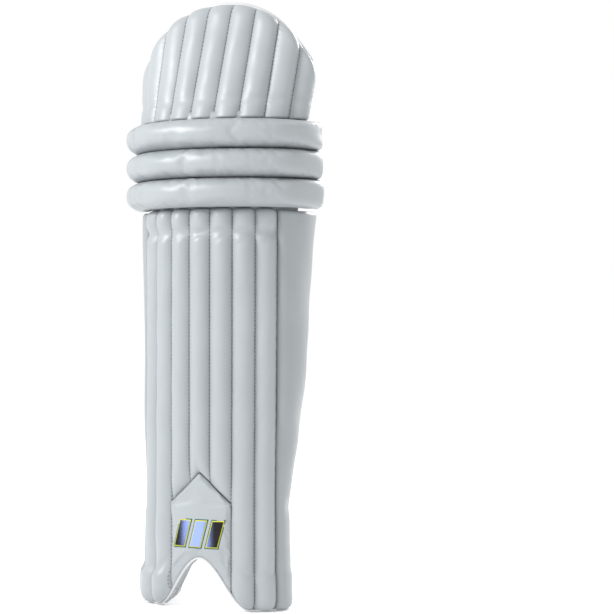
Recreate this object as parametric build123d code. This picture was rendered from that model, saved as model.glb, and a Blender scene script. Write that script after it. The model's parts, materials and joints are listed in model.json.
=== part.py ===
"""Cricket batting leg pad: a padded, C-shaped shell that covers a batter's shin, knee and lower thigh.

The pad stands on its two foot lobes. +Z is up, the batting face looks along -Y and the leg enters from +Y.
Every layer of the shell is a sector of an upright elliptic ring. An angle of 0 is the front centre, positive
angles go round the right side (+X), and an inset is the depth below the outer surface. The pieces are drawn
round the leg's axis and then moved together, so that the origin is the bottom centre of the whole pad's box.
All sizes are millimetres.
"""
from build123d import *
import math
import os

# ---- overall sizes --------------------------------------------------------------------------------------
SHIN_TOP = 440.0                 # height of the shin section
KNEE_ROLL_PITCH = 32.0           # height taken by each horizontal knee roll
KNEE_ROLL_COUNT = 3
THIGH_RISE = 137.0               # height of the thigh flap above the knee rolls
THIGH_LEAN = math.radians(20)    # the flap leans back towards the thigh
FRONT_Y = -76.0                  # the front of the shin, the same at every height

# ---- outer surface of the shin: height, half width, depth from the front to the widest plane -------------
SHIN_SHAPE = [(0.0, 90.0, 48.0), (128.0, 87.0, 50.0), (260.0, 95.5, 67.0), (SHIN_TOP, 102.0, 82.0)]
ANKLE_Z = SHIN_SHAPE[1][0]
KNEE_HALF_WIDTH = 102.0          # centre line of the knee rolls
KNEE_DEPTH = 78.0
KNEE_CENTRE_Y = 2.0
KNEE_ROLL_RADIAL = 17.0          # half thickness of a knee roll, front to back
KNEE_FLEX_GAP = 3.0              # lets a roll tip against the padding inside it as the knee bends
THIGH_BASE = (109.0, 82.0)       # half width and depth of the flap at the knee
THIGH_TOP = (126.0, 62.0)        # and at its top, where it is flatter
THIGH_FRONT_Y = -71.0

# ---- layers, as insets from the outer surface ------------------------------------------------------------
GAP = 0.5                        # between two layers or two neighbouring rolls
ROLL_THICKNESS = 17.5
BACKING_THICKNESS = 2.0
LINING_THICKNESS = 1.2
CENTRE_PAD_THICKNESS = 8.0
BOLSTER_THICKNESS_TOP = 22.0
BOLSTER_THICKNESS_LOW = 13.0
COVER_WALL = 1.6
WING_THICKNESS = 11.0
FOOT_WING_THICKNESS = 14.0
THIGH_ROLL_THICKNESS = 15.0
THIGH_PAD_THICKNESS = 8.0
BINDING = 4.0                    # width of the flap's sewn edge

# ---- rolls and panels ------------------------------------------------------------------------------------
ROLL_WIDTH = 27.0
ROLL_COUNT = 7
SHORT_ROLLS = (3, 4, 5)          # these end at the instep panel, the others run to the floor
CANE_RADIUS = 4.5
CANE_CLEARANCE = 0.3
CANE_TOP_MARGIN = 36.0           # the canes stop below the crease under the knee
THIGH_ROLL_WIDTH = 30.0
THIGH_ROLL_COUNT = 9
CHEVRON_APEX_Z = 150.0           # the instep panel's top edge is a chevron
CHEVRON_CORNER_Z = 116.0
ARCH_HEIGHT = 56.0               # the bottom edge is cut away over the shoe
ARCH_HALF_WIDTH = 60.0
INSTEP_INSET = 3.0               # the instep panel lies a little below the rolls' surface
INSTEP_THICKNESS = ROLL_THICKNESS - INSTEP_INSET
EMBLEM_HEIGHTS = (66.0, 101.0)
EMBLEM_HALF_WIDTH = 30.0
EMBLEM_THICKNESS = 1.1
FOOT_WING_TOP = 96.0
WING_BOTTOM = FOOT_WING_TOP + 3.0
WING_TOP = SHIN_TOP - 3.0
WING_REAR = [(WING_BOTTOM, -1.0), (ANKLE_Z, 3.0), (300.0, 33.0), (WING_TOP, 43.0)]   # height, rear edge's y
FOOT_REAR_ANGLE = math.radians(122)
BOLSTER_BOTTOM = 92.0
BOLSTER_TOP = SHIN_TOP - 8.0
BOLSTER_INNER_X = 20.0           # half width of the channel between the bolsters
BOLSTER_OUTER_ANGLE = math.radians(66)
CENTRE_PAD_HALF_WIDTH = 18.0

# ---- knee, inside ----------------------------------------------------------------------------------------
KNEE_PAD_THICKNESS = 16.0
KNEE_PAD_ANGLE = math.radians(100)
KNEE_PAD_SPLIT = math.radians(24)
KNEE_SIDE_THICKNESS = 9.0
KNEE_SIDE_PROUD = 12.5           # the side panels' outer face, out from the knee lining
KNEE_SIDE_START = math.radians(98)
KNEE_SIDE_END = math.radians(115)
KNEE_ROLL_END = math.radians(92)
LOCATOR_THICKNESS = 10.0
LOCATOR_HALF_WIDTHS = (33.0, 54.0, 30.0)    # at its top, its widest line and its bottom
BADGE_HALF_WIDTHS = (11.5, 21.5, 11.5)
BADGE_HEIGHT = 47.0
BADGE_THICKNESS = 2.0

# ---- straps ----------------------------------------------------------------------------------------------
WEBBING = 1.6                    # thickness
STRAP_CLEARANCE = 2.5            # between the webbing and the wing that it passes
PATCH_THICKNESS = 1.0
PATCH_MARGIN = 1.0               # the patch is this much narrower than the webbing at each edge
TAB_CLEARANCE = 0.5
TAB_ANGLES = {"knee": math.radians(15), "calf": math.radians(27), "ankle": math.radians(27)}
HINGE_GAP = 1.2                  # from a webbing's fold line to the stiff part
ANCHOR_LENGTH_ANGLE = math.radians(14)
STRAPS = {"knee": (SHIN_TOP + 19.0, 28.0), "calf": (330.0, 56.0), "ankle": (116.0, 28.0)}   # height, width
RING_BAR = 1.5                   # bar radius of the calf strap's ring
RING_SPAN = 12.0                 # between the ring's two bars
RING_CLEARANCE = 0.2
STRAP_FOLD = 18.0                # from the ring's bar to the seam that closes the webbing's fold
TAB_FOLD = 6.0
SLIDER_LENGTH = 17.0             # along the ankle strap
SLIDER_X = -58.0
SLIDER_BAR = 2.2
SLIDER_INNER_BAR = 1.5           # thickness of the two bars behind the webbing
SLIDER_CLEARANCE = 0.3
SLIDER_CAP = 3.5


def between(table, z):
    """Straight-line interpolation in a table whose rows start with a height."""
    for low, high in zip(table, table[1:]):
        if z <= high[0] or high is table[-1]:
            share = (z - low[0]) / (high[0] - low[0])
            return [p + share * (q - p) for p, q in zip(low, high)]


class Section:
    """An elliptic ring at one height: its outer half width and depth, and the y of its widest plane."""

    def __init__(self, z, half_width, depth, centre_y):
        self.z, self.a, self.b, self.centre_y = z, half_width, depth, centre_y

    def point(self, angle, inset=0.0):
        x = (self.a - inset) * math.sin(angle)
        y = self.centre_y - (self.b - inset) * math.cos(angle)
        return Vector(x, y, self.z)

    def angle_at(self, length):
        """The angle where the outer surface is this far round from the front centre."""
        steps, angle, walked = 400, 0.0, 0.0
        step = math.pi / steps
        while walked < abs(length):
            walked += step * math.hypot(self.a * math.cos(angle), self.b * math.sin(angle))
            angle += step
        return math.copysign(angle, length)

    def angle_at_y(self, y):
        """The angle on the right-hand side where the outer surface has this y."""
        return math.acos((self.centre_y - y) / self.b)

    def sector(self, inset_out, inset_in, start, end):
        """A horizontal face between two insets and two angles."""
        count = 6
        angles = [start + (end - start) * i / count for i in range(count + 1)]
        outer = Spline(*[self.point(t, inset_out) for t in angles])
        inner = Spline(*[self.point(t, inset_in) for t in reversed(angles)])
        sides = [Line(outer @ 1, inner @ 0), Line(inner @ 1, outer @ 0)]
        return Face(Wire([outer, sides[0], inner, sides[1]]))


def shin_section(z):
    _, half_width, depth = between(SHIN_SHAPE, z)
    return Section(z, half_width, depth, FRONT_Y + depth)


KNEE_BASE = SHIN_TOP + GAP
KNEE_TOP = SHIN_TOP + KNEE_ROLL_COUNT * KNEE_ROLL_PITCH
THIGH_BOTTOM = KNEE_TOP + 1.0
THIGH_LOFT_TOP = THIGH_BOTTOM + THIGH_RISE + 10.0


def knee_section(z):
    """The ring whose outer surface is the back of the padding's board, just inside the knee rolls."""
    room = KNEE_ROLL_RADIAL + KNEE_FLEX_GAP
    return Section(z, KNEE_HALF_WIDTH - room, KNEE_DEPTH - room, KNEE_CENTRE_Y)


def thigh_section(z):
    share = (z - THIGH_BOTTOM) / (THIGH_LOFT_TOP - THIGH_BOTTOM)
    half_width, depth = [p + share * (q - p) for p, q in zip(THIGH_BASE, THIGH_TOP)]
    lean = math.tan(THIGH_LEAN) * (z - THIGH_BOTTOM)
    return Section(z, half_width, depth, THIGH_FRONT_Y + depth + lean)


def ring_part(section_at, heights, insets, angles):
    """A solid lofted through sectors; insets and angles are functions of the section, or fixed pairs."""
    faces = []
    for z in heights:
        section = section_at(z)
        depth = insets(section) if callable(insets) else insets
        span = angles(section) if callable(angles) else angles
        faces.append(section.sector(*depth, *span))
    return loft(faces, ruled=True)


def strip(start, end, gap=GAP):
    """The angles of a strip between two lengths round the outer surface, less half a gap at each side."""
    return lambda section: (section.angle_at(start + gap / 2), section.angle_at(end - gap / 2))


def front_prism(points):
    """A closed outline in the XZ plane, given as (x, z), pushed through the whole pad along Y."""
    outline = Polyline(*[(x, 0, z) for x, z in points], close=True)
    return extrude(Face(Wire(outline.edges())), amount=200, dir=(0, 1, 0), both=True)


def shin_heights(low, high):
    return [low] + [row[0] for row in SHIN_SHAPE[1:-1] if low < row[0] < high] + [high]


# ---- cutters ---------------------------------------------------------------------------------------------
def arch_cutter():
    """Removes the bell-shaped opening over the shoe; its sides end flat on the floor plane."""
    count = 16
    points = []
    for i in range(count + 1):
        x = -ARCH_HALF_WIDTH + 2 * ARCH_HALF_WIDTH * i / count
        points.append((x, ARCH_HEIGHT * (0.5 + 0.5 * math.cos(math.pi * x / ARCH_HALF_WIDTH))))
    return front_prism(points + [(ARCH_HALF_WIDTH, -20.0), (-ARCH_HALF_WIDTH, -20.0)])


def chevron_prism(lift):
    """Everything below the instep panel's chevron edge, raised by lift."""
    corner_x = ROLL_WIDTH * len(SHORT_ROLLS) / 2
    slope = (CHEVRON_APEX_Z - CHEVRON_CORNER_Z) / corner_x
    far_x = corner_x * 1.6
    far_z = CHEVRON_APEX_Z - slope * far_x + lift
    edge = [(-far_x, far_z), (0, CHEVRON_APEX_Z + lift), (far_x, far_z)]
    return front_prism(edge + [(far_x, -20), (-far_x, -20)])


def thigh_outline(inset):
    """The flap's domed front outline: a superellipse, drawn in by inset."""
    power = 2.25
    half_width, rise, count = THIGH_BASE[0] + 6 - inset, THIGH_RISE - inset, 16
    points = []
    for i in range(count + 1):
        turn = math.pi * i / count
        x = math.copysign(abs(math.cos(turn)) ** (2 / power), math.cos(turn)) * half_width
        points.append((x, 0, THIGH_BOTTOM + math.sin(turn) ** (2 / power) * rise))
    foot = THIGH_BOTTOM - 5
    dome = Spline(*points)
    skirt = Polyline(dome @ 1, (-half_width, 0, foot), (half_width, 0, foot), dome @ 0)
    return extrude(Face(Wire([dome] + skirt.edges())), amount=200, dir=(0, 1, 0), both=True)


# ---- shin ------------------------------------------------------------------------------------------------
def roll_edges(number, count=ROLL_COUNT, width=ROLL_WIDTH):
    """Where a vertical roll starts and ends round the surface, counted from the left."""
    start = (number - 1 - count / 2) * width
    return start, start + width


def shin_rolls():
    """The padded vertical rolls, each with a blind pocket from the top for its cane."""
    parts, canes = {}, []
    arch, chevron = arch_cutter(), chevron_prism(GAP)
    for number in range(1, ROLL_COUNT + 1):
        low = 100.0 if number in SHORT_ROLLS else 0.0
        heights = shin_heights(low, SHIN_TOP)
        roll = ring_part(shin_section, heights, (0, ROLL_THICKNESS), strip(*roll_edges(number)))
        roll = roll - (chevron if number in SHORT_ROLLS else arch)
        middle = sum(roll_edges(number)) / 2
        bottom, top = [
            shin_section(z).point(shin_section(z).angle_at(middle), ROLL_THICKNESS / 2)
            for z in (CHEVRON_APEX_Z + 30, SHIN_TOP)
        ]
        along = (top - bottom).normalized()
        length = (top - bottom).length
        base = Plane(origin=bottom, z_dir=along)
        upward = (Align.CENTER, Align.CENTER, Align.MIN)
        pocket = base * Cylinder(CANE_RADIUS + CANE_CLEARANCE, length + 20, align=upward)
        cane = base.offset(CANE_CLEARANCE) * Cylinder(CANE_RADIUS, length - CANE_TOP_MARGIN, align=upward)
        parts[f"shin_roll_{number}"] = roll - pocket
        canes.append(cane)
    parts["shin_canes"] = Compound(children=canes)
    return parts


BACKING_IN = ROLL_THICKNESS + GAP
LINING_IN = BACKING_IN + BACKING_THICKNESS + GAP
PAD_IN = LINING_IN + LINING_THICKNESS + GAP
SHIN_EDGE = ROLL_COUNT * ROLL_WIDTH / 2


def shin_panels():
    """The backing board, its lining, the instep panel, its emblem, and the pad against the shin bone."""
    span = strip(-SHIN_EDGE, SHIN_EDGE, 2.0)
    panel_edge = ROLL_WIDTH * len(SHORT_ROLLS) / 2
    layers = {
        "shin_backing": (6, SHIN_TOP - 1, BACKING_IN, BACKING_THICKNESS, span),
        "shin_lining": (BOLSTER_BOTTOM - 8, BOLSTER_TOP, LINING_IN, LINING_THICKNESS, span),
        "instep_panel": (0, CHEVRON_APEX_Z, INSTEP_INSET, INSTEP_THICKNESS, strip(-panel_edge, panel_edge)),
        "instep_emblem": (*EMBLEM_HEIGHTS, INSTEP_INSET - 0.3 - EMBLEM_THICKNESS, EMBLEM_THICKNESS,
                          strip(-EMBLEM_HALF_WIDTH, EMBLEM_HALF_WIDTH)),
        "centre_pad": (BOLSTER_BOTTOM - 6, BOLSTER_TOP, PAD_IN, CENTRE_PAD_THICKNESS, centre_pad_span),
    }
    parts = {}
    for name, (low, high, inset, thickness, angles) in layers.items():
        parts[name] = ring_part(shin_section, shin_heights(low, high), (inset, inset + thickness), angles)
    parts["shin_backing"] -= arch_cutter()
    parts["instep_panel"] = (parts["instep_panel"] & chevron_prism(-GAP)) - arch_cutter()
    return parts


def centre_pad_span(section):
    end = math.asin(CENTRE_PAD_HALF_WIDTH / (section.a - PAD_IN))
    return -end, end


def bolster_thickness(z):
    share = (z - BOLSTER_BOTTOM) / (BOLSTER_TOP - BOLSTER_BOTTOM)
    return BOLSTER_THICKNESS_LOW + share * (BOLSTER_THICKNESS_TOP - BOLSTER_THICKNESS_LOW)


def bolster(side, shrink, low, high):
    """One vertical bolster, drawn in by shrink all round. side is 1 on the right and -1 on the left."""
    def insets(section):
        return PAD_IN + shrink, PAD_IN + bolster_thickness(section.z) - shrink

    def angles(section):
        inner = math.asin((BOLSTER_INNER_X + shrink) / (section.a - PAD_IN))
        outer = BOLSTER_OUTER_ANGLE - shrink / (section.b - PAD_IN - bolster_thickness(section.z))
        return side * inner, side * outer

    return ring_part(shin_section, shin_heights(low, high), insets, angles)


def bolsters():
    """Each bolster is a sewn cover, open at its top under the knee, round a foam core."""
    parts = {}
    for name, side in (("right", 1), ("left", -1)):
        whole = bolster(side, 0, BOLSTER_BOTTOM, BOLSTER_TOP)
        hollow = bolster(side, COVER_WALL, BOLSTER_BOTTOM + COVER_WALL, BOLSTER_TOP + 4)
        parts[f"{name}_bolster_cover"] = whole - hollow
        core_low = BOLSTER_BOTTOM + COVER_WALL + CANE_CLEARANCE
        parts[f"{name}_bolster_core"] = bolster(side, COVER_WALL + CANE_CLEARANCE, core_low, BOLSTER_TOP - 1)
    return parts


# ---- wings -----------------------------------------------------------------------------------------------
def rear_angle(section):
    """The angle of the wing's rear edge."""
    return section.angle_at_y(between(WING_REAR, section.z)[1])


def wing_layer(side, insets, low, high, start=SHIN_EDGE + 1.0):
    """A layer of one side wing, from a length round the surface to the wing's rear edge."""
    def angles(section):
        return side * section.angle_at(start), side * rear_angle(section)

    bends = {row[0] for row in WING_REAR + SHIN_SHAPE if low < row[0] < high}
    return ring_part(shin_section, [low, *sorted(bends), high], insets, angles)


def wings():
    """The two side wings, the lining that goes with each, and the foot's own wings below them."""
    lining_in = WING_THICKNESS + GAP
    lining_span = (lining_in, lining_in + LINING_THICKNESS)
    parts = {
        "outer_wing": wing_layer(1, (0, WING_THICKNESS), WING_BOTTOM, WING_TOP),
        "inner_wing": wing_layer(-1, (0, WING_THICKNESS), WING_BOTTOM, WING_TOP),
        "outer_side_lining": wing_layer(1, lining_span, WING_BOTTOM + 2, WING_TOP - 3, SHIN_EDGE + 3),
        "inner_wing_lining": wing_layer(-1, lining_span, WING_BOTTOM + 2, WING_TOP - 3, SHIN_EDGE + 3),
    }
    for name, side in (("outer", 1), ("inner", -1)):
        parts[f"{name}_foot_wing"] = ring_part(
            shin_section,
            [0, FOOT_WING_TOP],
            (0, FOOT_WING_THICKNESS),
            lambda s, side=side: (side * s.angle_at(SHIN_EDGE + GAP), side * FOOT_REAR_ANGLE),
        )
    return parts


# ---- knee ------------------------------------------------------------------------------------------------
def knee_roll(number):
    """A horizontal stuffed roll that wraps the front, with rounded ends. number counts from the bottom."""
    middle_z = SHIN_TOP + KNEE_ROLL_PITCH * (number - 0.5)
    line = Section(middle_z, KNEE_HALF_WIDTH, KNEE_DEPTH, KNEE_CENTRE_Y)
    ending = [(1.0, 0.4), (0.97, 0.7), (0.9, 0.92)]    # share of the way to an end, share of the full size
    middle = [(share / 4, 1.0) for share in range(-3, 4)]
    stations = [(-place, size) for place, size in ending] + middle + ending[::-1]
    faces = []
    for place, size in stations:
        angle = place * KNEE_ROLL_END
        tangent = Vector(line.a * math.cos(angle), line.b * math.sin(angle), 0)
        plane = Plane(origin=line.point(angle), x_dir=(0, 0, 1), z_dir=tangent)
        faces.append((plane * Ellipse(KNEE_ROLL_PITCH / 2 - GAP, KNEE_ROLL_RADIAL * size)).face())
    return loft(faces)


def knee_slab(layer, half_widths, heights):
    """A slab that follows the knee ring, with a six-sided front outline given by three half widths."""
    right = list(zip(half_widths, heights))
    left = [(-x, z) for x, z in reversed(right)]
    wide = math.radians(75)
    slab = ring_part(knee_section, [heights[2], heights[0]], layer, (-wide, wide))
    return slab & front_prism(right + left)


def knee_parts():
    """The three rolls, and inside them the backing, the padding, the side panels and the knee locator."""
    parts = {f"knee_roll_{n}": knee_roll(n) for n in range(1, KNEE_ROLL_COUNT + 1)}
    heights = [KNEE_BASE + 5, KNEE_TOP - 4]
    pad_in = BACKING_THICKNESS + GAP
    pad_layer = (pad_in, pad_in + KNEE_PAD_THICKNESS)
    side_layer = (-KNEE_SIDE_PROUD, KNEE_SIDE_THICKNESS - KNEE_SIDE_PROUD)
    centre_end = KNEE_PAD_SPLIT - GAP / knee_section(0).b
    for name, layer, span in (
        ("knee_backing", (0, BACKING_THICKNESS), (-KNEE_PAD_ANGLE, KNEE_PAD_ANGLE)),
        ("knee_pad_right", pad_layer, (KNEE_PAD_SPLIT, KNEE_PAD_ANGLE)),
        ("knee_pad_left", pad_layer, (-KNEE_PAD_ANGLE, -KNEE_PAD_SPLIT)),
        ("knee_pad_centre", pad_layer, (-centre_end, centre_end)),
        ("knee_side_right", side_layer, (KNEE_SIDE_START, KNEE_SIDE_END)),
        ("knee_side_left", side_layer, (-KNEE_SIDE_END, -KNEE_SIDE_START)),
    ):
        parts[name] = ring_part(knee_section, heights, layer, span)
    locator_in = pad_layer[1] + GAP
    locator_out = locator_in + LOCATOR_THICKNESS
    middle = (KNEE_BASE + KNEE_TOP) / 2
    badge_z = middle + 7
    parts["knee_locator"] = knee_slab(
        (locator_in, locator_out), LOCATOR_HALF_WIDTHS, (KNEE_TOP - 6, middle, KNEE_BASE + 6)
    )
    parts["locator_badge"] = knee_slab(
        (locator_out + 0.2, locator_out + 0.2 + BADGE_THICKNESS),
        BADGE_HALF_WIDTHS,
        (badge_z + BADGE_HEIGHT / 2, badge_z, badge_z - BADGE_HEIGHT / 2),
    )
    return parts


# ---- thigh flap ------------------------------------------------------------------------------------------
def thigh_parts():
    """The flap's vertical rolls, the board behind them, the soft inner pad and the edge binding."""
    heights = [THIGH_BOTTOM, THIGH_LOFT_TOP]
    inside = thigh_outline(BINDING)
    parts = {}
    for number in range(1, THIGH_ROLL_COUNT + 1):
        edges = roll_edges(number, THIGH_ROLL_COUNT, THIGH_ROLL_WIDTH)
        roll = ring_part(thigh_section, heights, (0, THIGH_ROLL_THICKNESS), strip(*edges))
        parts[f"thigh_roll_{number}"] = roll & inside
    edge = THIGH_ROLL_COUNT * THIGH_ROLL_WIDTH / 2
    board_in = THIGH_ROLL_THICKNESS + GAP
    pad_in = board_in + BACKING_THICKNESS + GAP
    board_layer = (board_in, board_in + BACKING_THICKNESS)
    pad_layer = (pad_in, pad_in + THIGH_PAD_THICKNESS)
    parts["thigh_backing"] = ring_part(thigh_section, heights, board_layer, strip(-edge, edge)) & inside
    parts["thigh_inner_pad"] = ring_part(thigh_section, heights, pad_layer, strip(-edge, edge)) & inside
    rim_span = strip(-edge - BINDING, edge + BINDING)
    rim = ring_part(thigh_section, heights, (board_in - 6, pad_in + 2), rim_span)
    filling = ring_part(thigh_section, heights, (board_in - 20, pad_in + 20), strip(-edge, edge, -GAP))
    parts["thigh_binding"] = (rim & thigh_outline(0)) - (filling & thigh_outline(BINDING - GAP))
    return parts


# ---- straps ----------------------------------------------------------------------------------------------
def strap_rings(name):
    """The widest and narrowest rings that a strap passes, and its side's rear y and thickness."""
    z, width = STRAPS[name]
    if name == "knee":
        ring = knee_section(z)
        ring = Section(0, ring.a + KNEE_SIDE_PROUD, ring.b + KNEE_SIDE_PROUD, ring.centre_y)
        return ring, ring, ring.point(KNEE_SIDE_END).Y, KNEE_SIDE_THICKNESS
    rings = sorted((shin_section(h) for h in (z - width / 2, z + width / 2)), key=lambda ring: ring.a)
    narrow, wide = [Section(0, ring.a, ring.b, ring.centre_y) for ring in rings]
    return wide, narrow, between(WING_REAR, z + width / 2)[1], WING_THICKNESS


def strap_line(name):
    """A strap's two fold lines, seen from above: at the sewn end on the right, and at the tab on the left."""
    wide, narrow, rear_y, thickness = strap_rings(name)
    right = narrow.point(narrow.angle_at_y(rear_y), sewn_inset(thickness))
    outer_x = wide.point(wide.angle_at_y(rear_y)).X
    room = PATCH_THICKNESS + STRAP_CLEARANCE + WEBBING / 2
    if name == "calf":
        room += RING_BAR
    return right, Vector(-outer_x - room - 0.8, rear_y + room, 0)


def sewn_inset(thickness):
    """The depth of a sewn end's middle, below the outside of the side that it is sewn to."""
    return thickness + LINING_THICKNESS + 2 * GAP + WEBBING


def along_strap(name):
    """The strap's direction from the tab to its sewn end, and that direction's turn about +Z in degrees."""
    right, left = strap_line(name)
    along = (right - left).normalized()
    return along, math.degrees(math.atan2(along.Y, along.X))


def upright(profile, name):
    """A profile drawn at height 0, pushed up over a strap's width."""
    z, width = STRAPS[name]
    return Pos(0, 0, z - width / 2) * extrude(profile, amount=width, dir=(0, 0, 1))


def webbing(start, end):
    """A straight webbing profile between two points on its centre line."""
    along = (end - start).normalized()
    across = Vector(-along.Y, along.X, 0) * (WEBBING / 2)
    corners = [start + across, end + across, end - across, start - across]
    return Face(Wire(Polyline(*corners, close=True).edges()))


def fold_round_bar(bar, seam):
    """Webbing folded round a ring's bar and sewn to itself at seam: a drop shape with a hole in it."""
    hole = RING_BAR + RING_CLEARANCE
    outer = hole + WEBBING
    along = (seam - bar).normalized()
    across = Vector(-along.Y, along.X, 0)
    tail = [bar + across * outer, seam + across * WEBBING, seam - across * WEBBING, bar - across * outer]
    body = Pos(bar) * Circle(outer) + Face(Wire(Polyline(*tail, close=True).edges()))
    slit = [bar + across * hole, seam - along * 2, bar - across * hole]
    void = Pos(bar) * Circle(hole) + Face(Wire(Polyline(*slit, close=True).edges()))
    return body - void


def tab(name):
    """The hook tab: it wraps the left wing's outside, over the loop patch, from the fold line behind it."""
    ring, _, rear_y, _ = strap_rings(name)
    rear = ring.angle_at_y(rear_y)
    _, fold = strap_line(name)
    lift = PATCH_THICKNESS + TAB_CLEARANCE
    rear_end = rear - math.radians(2)
    flat = ring.sector(-lift - WEBBING, -lift, -rear_end, -(rear - TAB_ANGLES[name]))
    start = ring.point(-rear_end + math.radians(1), -(lift + WEBBING / 2))
    towards = (start - fold).normalized()
    if name == "calf":
        seam = fold + towards * TAB_FOLD
        back = upright(fold_round_bar(fold, seam), name) + upright(webbing(seam - towards, start), name)
    else:
        back = upright(webbing(fold + towards * HINGE_GAP, start), name)
    return back + upright(flat, name)


def loop_patch(name):
    """The loop half of the fastening, on the outside of the left wing or of the knee's left side."""
    ring, _, _, _ = strap_rings(name)
    z, width = STRAPS[name]
    heights = [z - width / 2 + PATCH_MARGIN, z + width / 2 - PATCH_MARGIN]
    layer = (-PATCH_THICKNESS - 0.1, -0.1)
    near, far = math.radians(2), TAB_ANGLES[name] + math.radians(1)
    if name == "knee":
        span = (near - KNEE_SIDE_END, far - KNEE_SIDE_END)
        return ring_part(lambda h: Section(h, ring.a, ring.b, ring.centre_y), heights, layer, span)
    return ring_part(shin_section, heights, layer, lambda s: (near - rear_angle(s), far - rear_angle(s)))


def straps():
    """The three straps with their sewn ends, hook tabs, loop patches, the calf ring and the ankle slider."""
    parts = {}
    for name in STRAPS:
        _, narrow, rear_y, thickness = strap_rings(name)
        right, left = strap_line(name)
        along, _ = along_strap(name)
        sewn = narrow.point(narrow.angle_at_y(rear_y) - ANCHOR_LENGTH_ANGLE, sewn_inset(thickness))
        towards = (sewn - right).normalized()
        parts[f"{name}_strap_anchor"] = upright(webbing(sewn, right + towards * HINGE_GAP), name)
        start = right - along * HINGE_GAP
        if name == "calf":
            bar = left + along * RING_SPAN
            seam = bar + along * STRAP_FOLD
            band = webbing(seam - along, start)
            parts["calf_strap"] = upright(fold_round_bar(bar, seam), name) + upright(band, name)
        else:
            parts[f"{name}_strap"] = upright(webbing(left + along * HINGE_GAP, start), name)
        parts[f"{name}_tab"] = tab(name)
        parts[f"{name}_loop_patch"] = loop_patch(name)
    parts["calf_ring"] = calf_ring()
    parts["ankle_slider"] = ankle_slider()
    return parts


def calf_ring():
    """A rectangular ring of round bar: one upright bar in the strap's fold, the other in the tab's."""
    _, left = strap_line("calf")
    along, turn = along_strap("calf")
    z, width = STRAPS["calf"]
    half = width / 2 + 1.0 + RING_BAR
    corners = [(side * RING_SPAN / 2, end * half) for side in (-1, 1) for end in (-1, 1)]
    pieces = [Pos(x, 0, height) * Sphere(RING_BAR) for x, height in corners]
    for side in (-1, 1):
        pieces.append(Pos(side * RING_SPAN / 2, 0, 0) * Cylinder(RING_BAR, 2 * half))
        pieces.append(Pos(0, 0, side * half) * Rotation(0, 90, 0) * Cylinder(RING_BAR, RING_SPAN))
    middle = left + along * (RING_SPAN / 2)
    return Pos(middle.X, middle.Y, z) * Rotation(0, 0, turn) * (pieces[0] + pieces[1:])


def slider_place():
    """The middle of the ankle slider, on its strap's centre line."""
    _, left = strap_line("ankle")
    along, _ = along_strap("ankle")
    place = left + along * ((SLIDER_X - left.X) / along.X)
    return Vector(place.X, place.Y, STRAPS["ankle"][0])


def ankle_slider():
    """A three-bar slide: two bars pass inside the ankle strap, and the middle one crosses its outside."""
    _, turn = along_strap("ankle")
    room = WEBBING / 2 + SLIDER_CLEARANCE
    half = STRAPS["ankle"][1] / 2 + 0.6
    side_x = (SLIDER_LENGTH - SLIDER_BAR) / 2
    inside_y, outside_y = -room - SLIDER_INNER_BAR, room + SLIDER_BAR
    whole = Pos(0, room + SLIDER_BAR / 2, 0) * Box(SLIDER_BAR, SLIDER_BAR, 2 * half + SLIDER_CAP)
    for side in (-1, 1):
        bar = Box(SLIDER_BAR, SLIDER_INNER_BAR, 2 * half + SLIDER_CAP)
        cap = Box(SLIDER_LENGTH, outside_y - inside_y, SLIDER_CAP)
        cap = fillet(cap.edges().filter_by(Axis.Y), 1.5)
        whole += Pos(side * side_x, -room - SLIDER_INNER_BAR / 2, 0) * bar
        whole += Pos(0, (inside_y + outside_y) / 2, side * (half + SLIDER_CAP / 2)) * cap
    return Pos(*slider_place()) * Rotation(0, 0, turn) * whole


def all_parts():
    parts = {}
    for group in (shin_rolls, shin_panels, bolsters, wings, knee_parts, thigh_parts, straps):
        parts.update(group())
    return parts


def centring(parts):
    """The move along Y that puts the origin in the middle of the whole pad's depth."""
    boxes = [shape.bounding_box() for shape in parts.values()]
    return -(min(box.min.Y for box in boxes) + max(box.max.Y for box in boxes)) / 2


if __name__ == "__main__":
    os.makedirs("parts", exist_ok=True)
    pieces = all_parts()
    move = Pos(0, centring(pieces), 0)
    for node, shape in pieces.items():
        export_step(move * shape, f"parts/{node}.step")
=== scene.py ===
import json
import math

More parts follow.
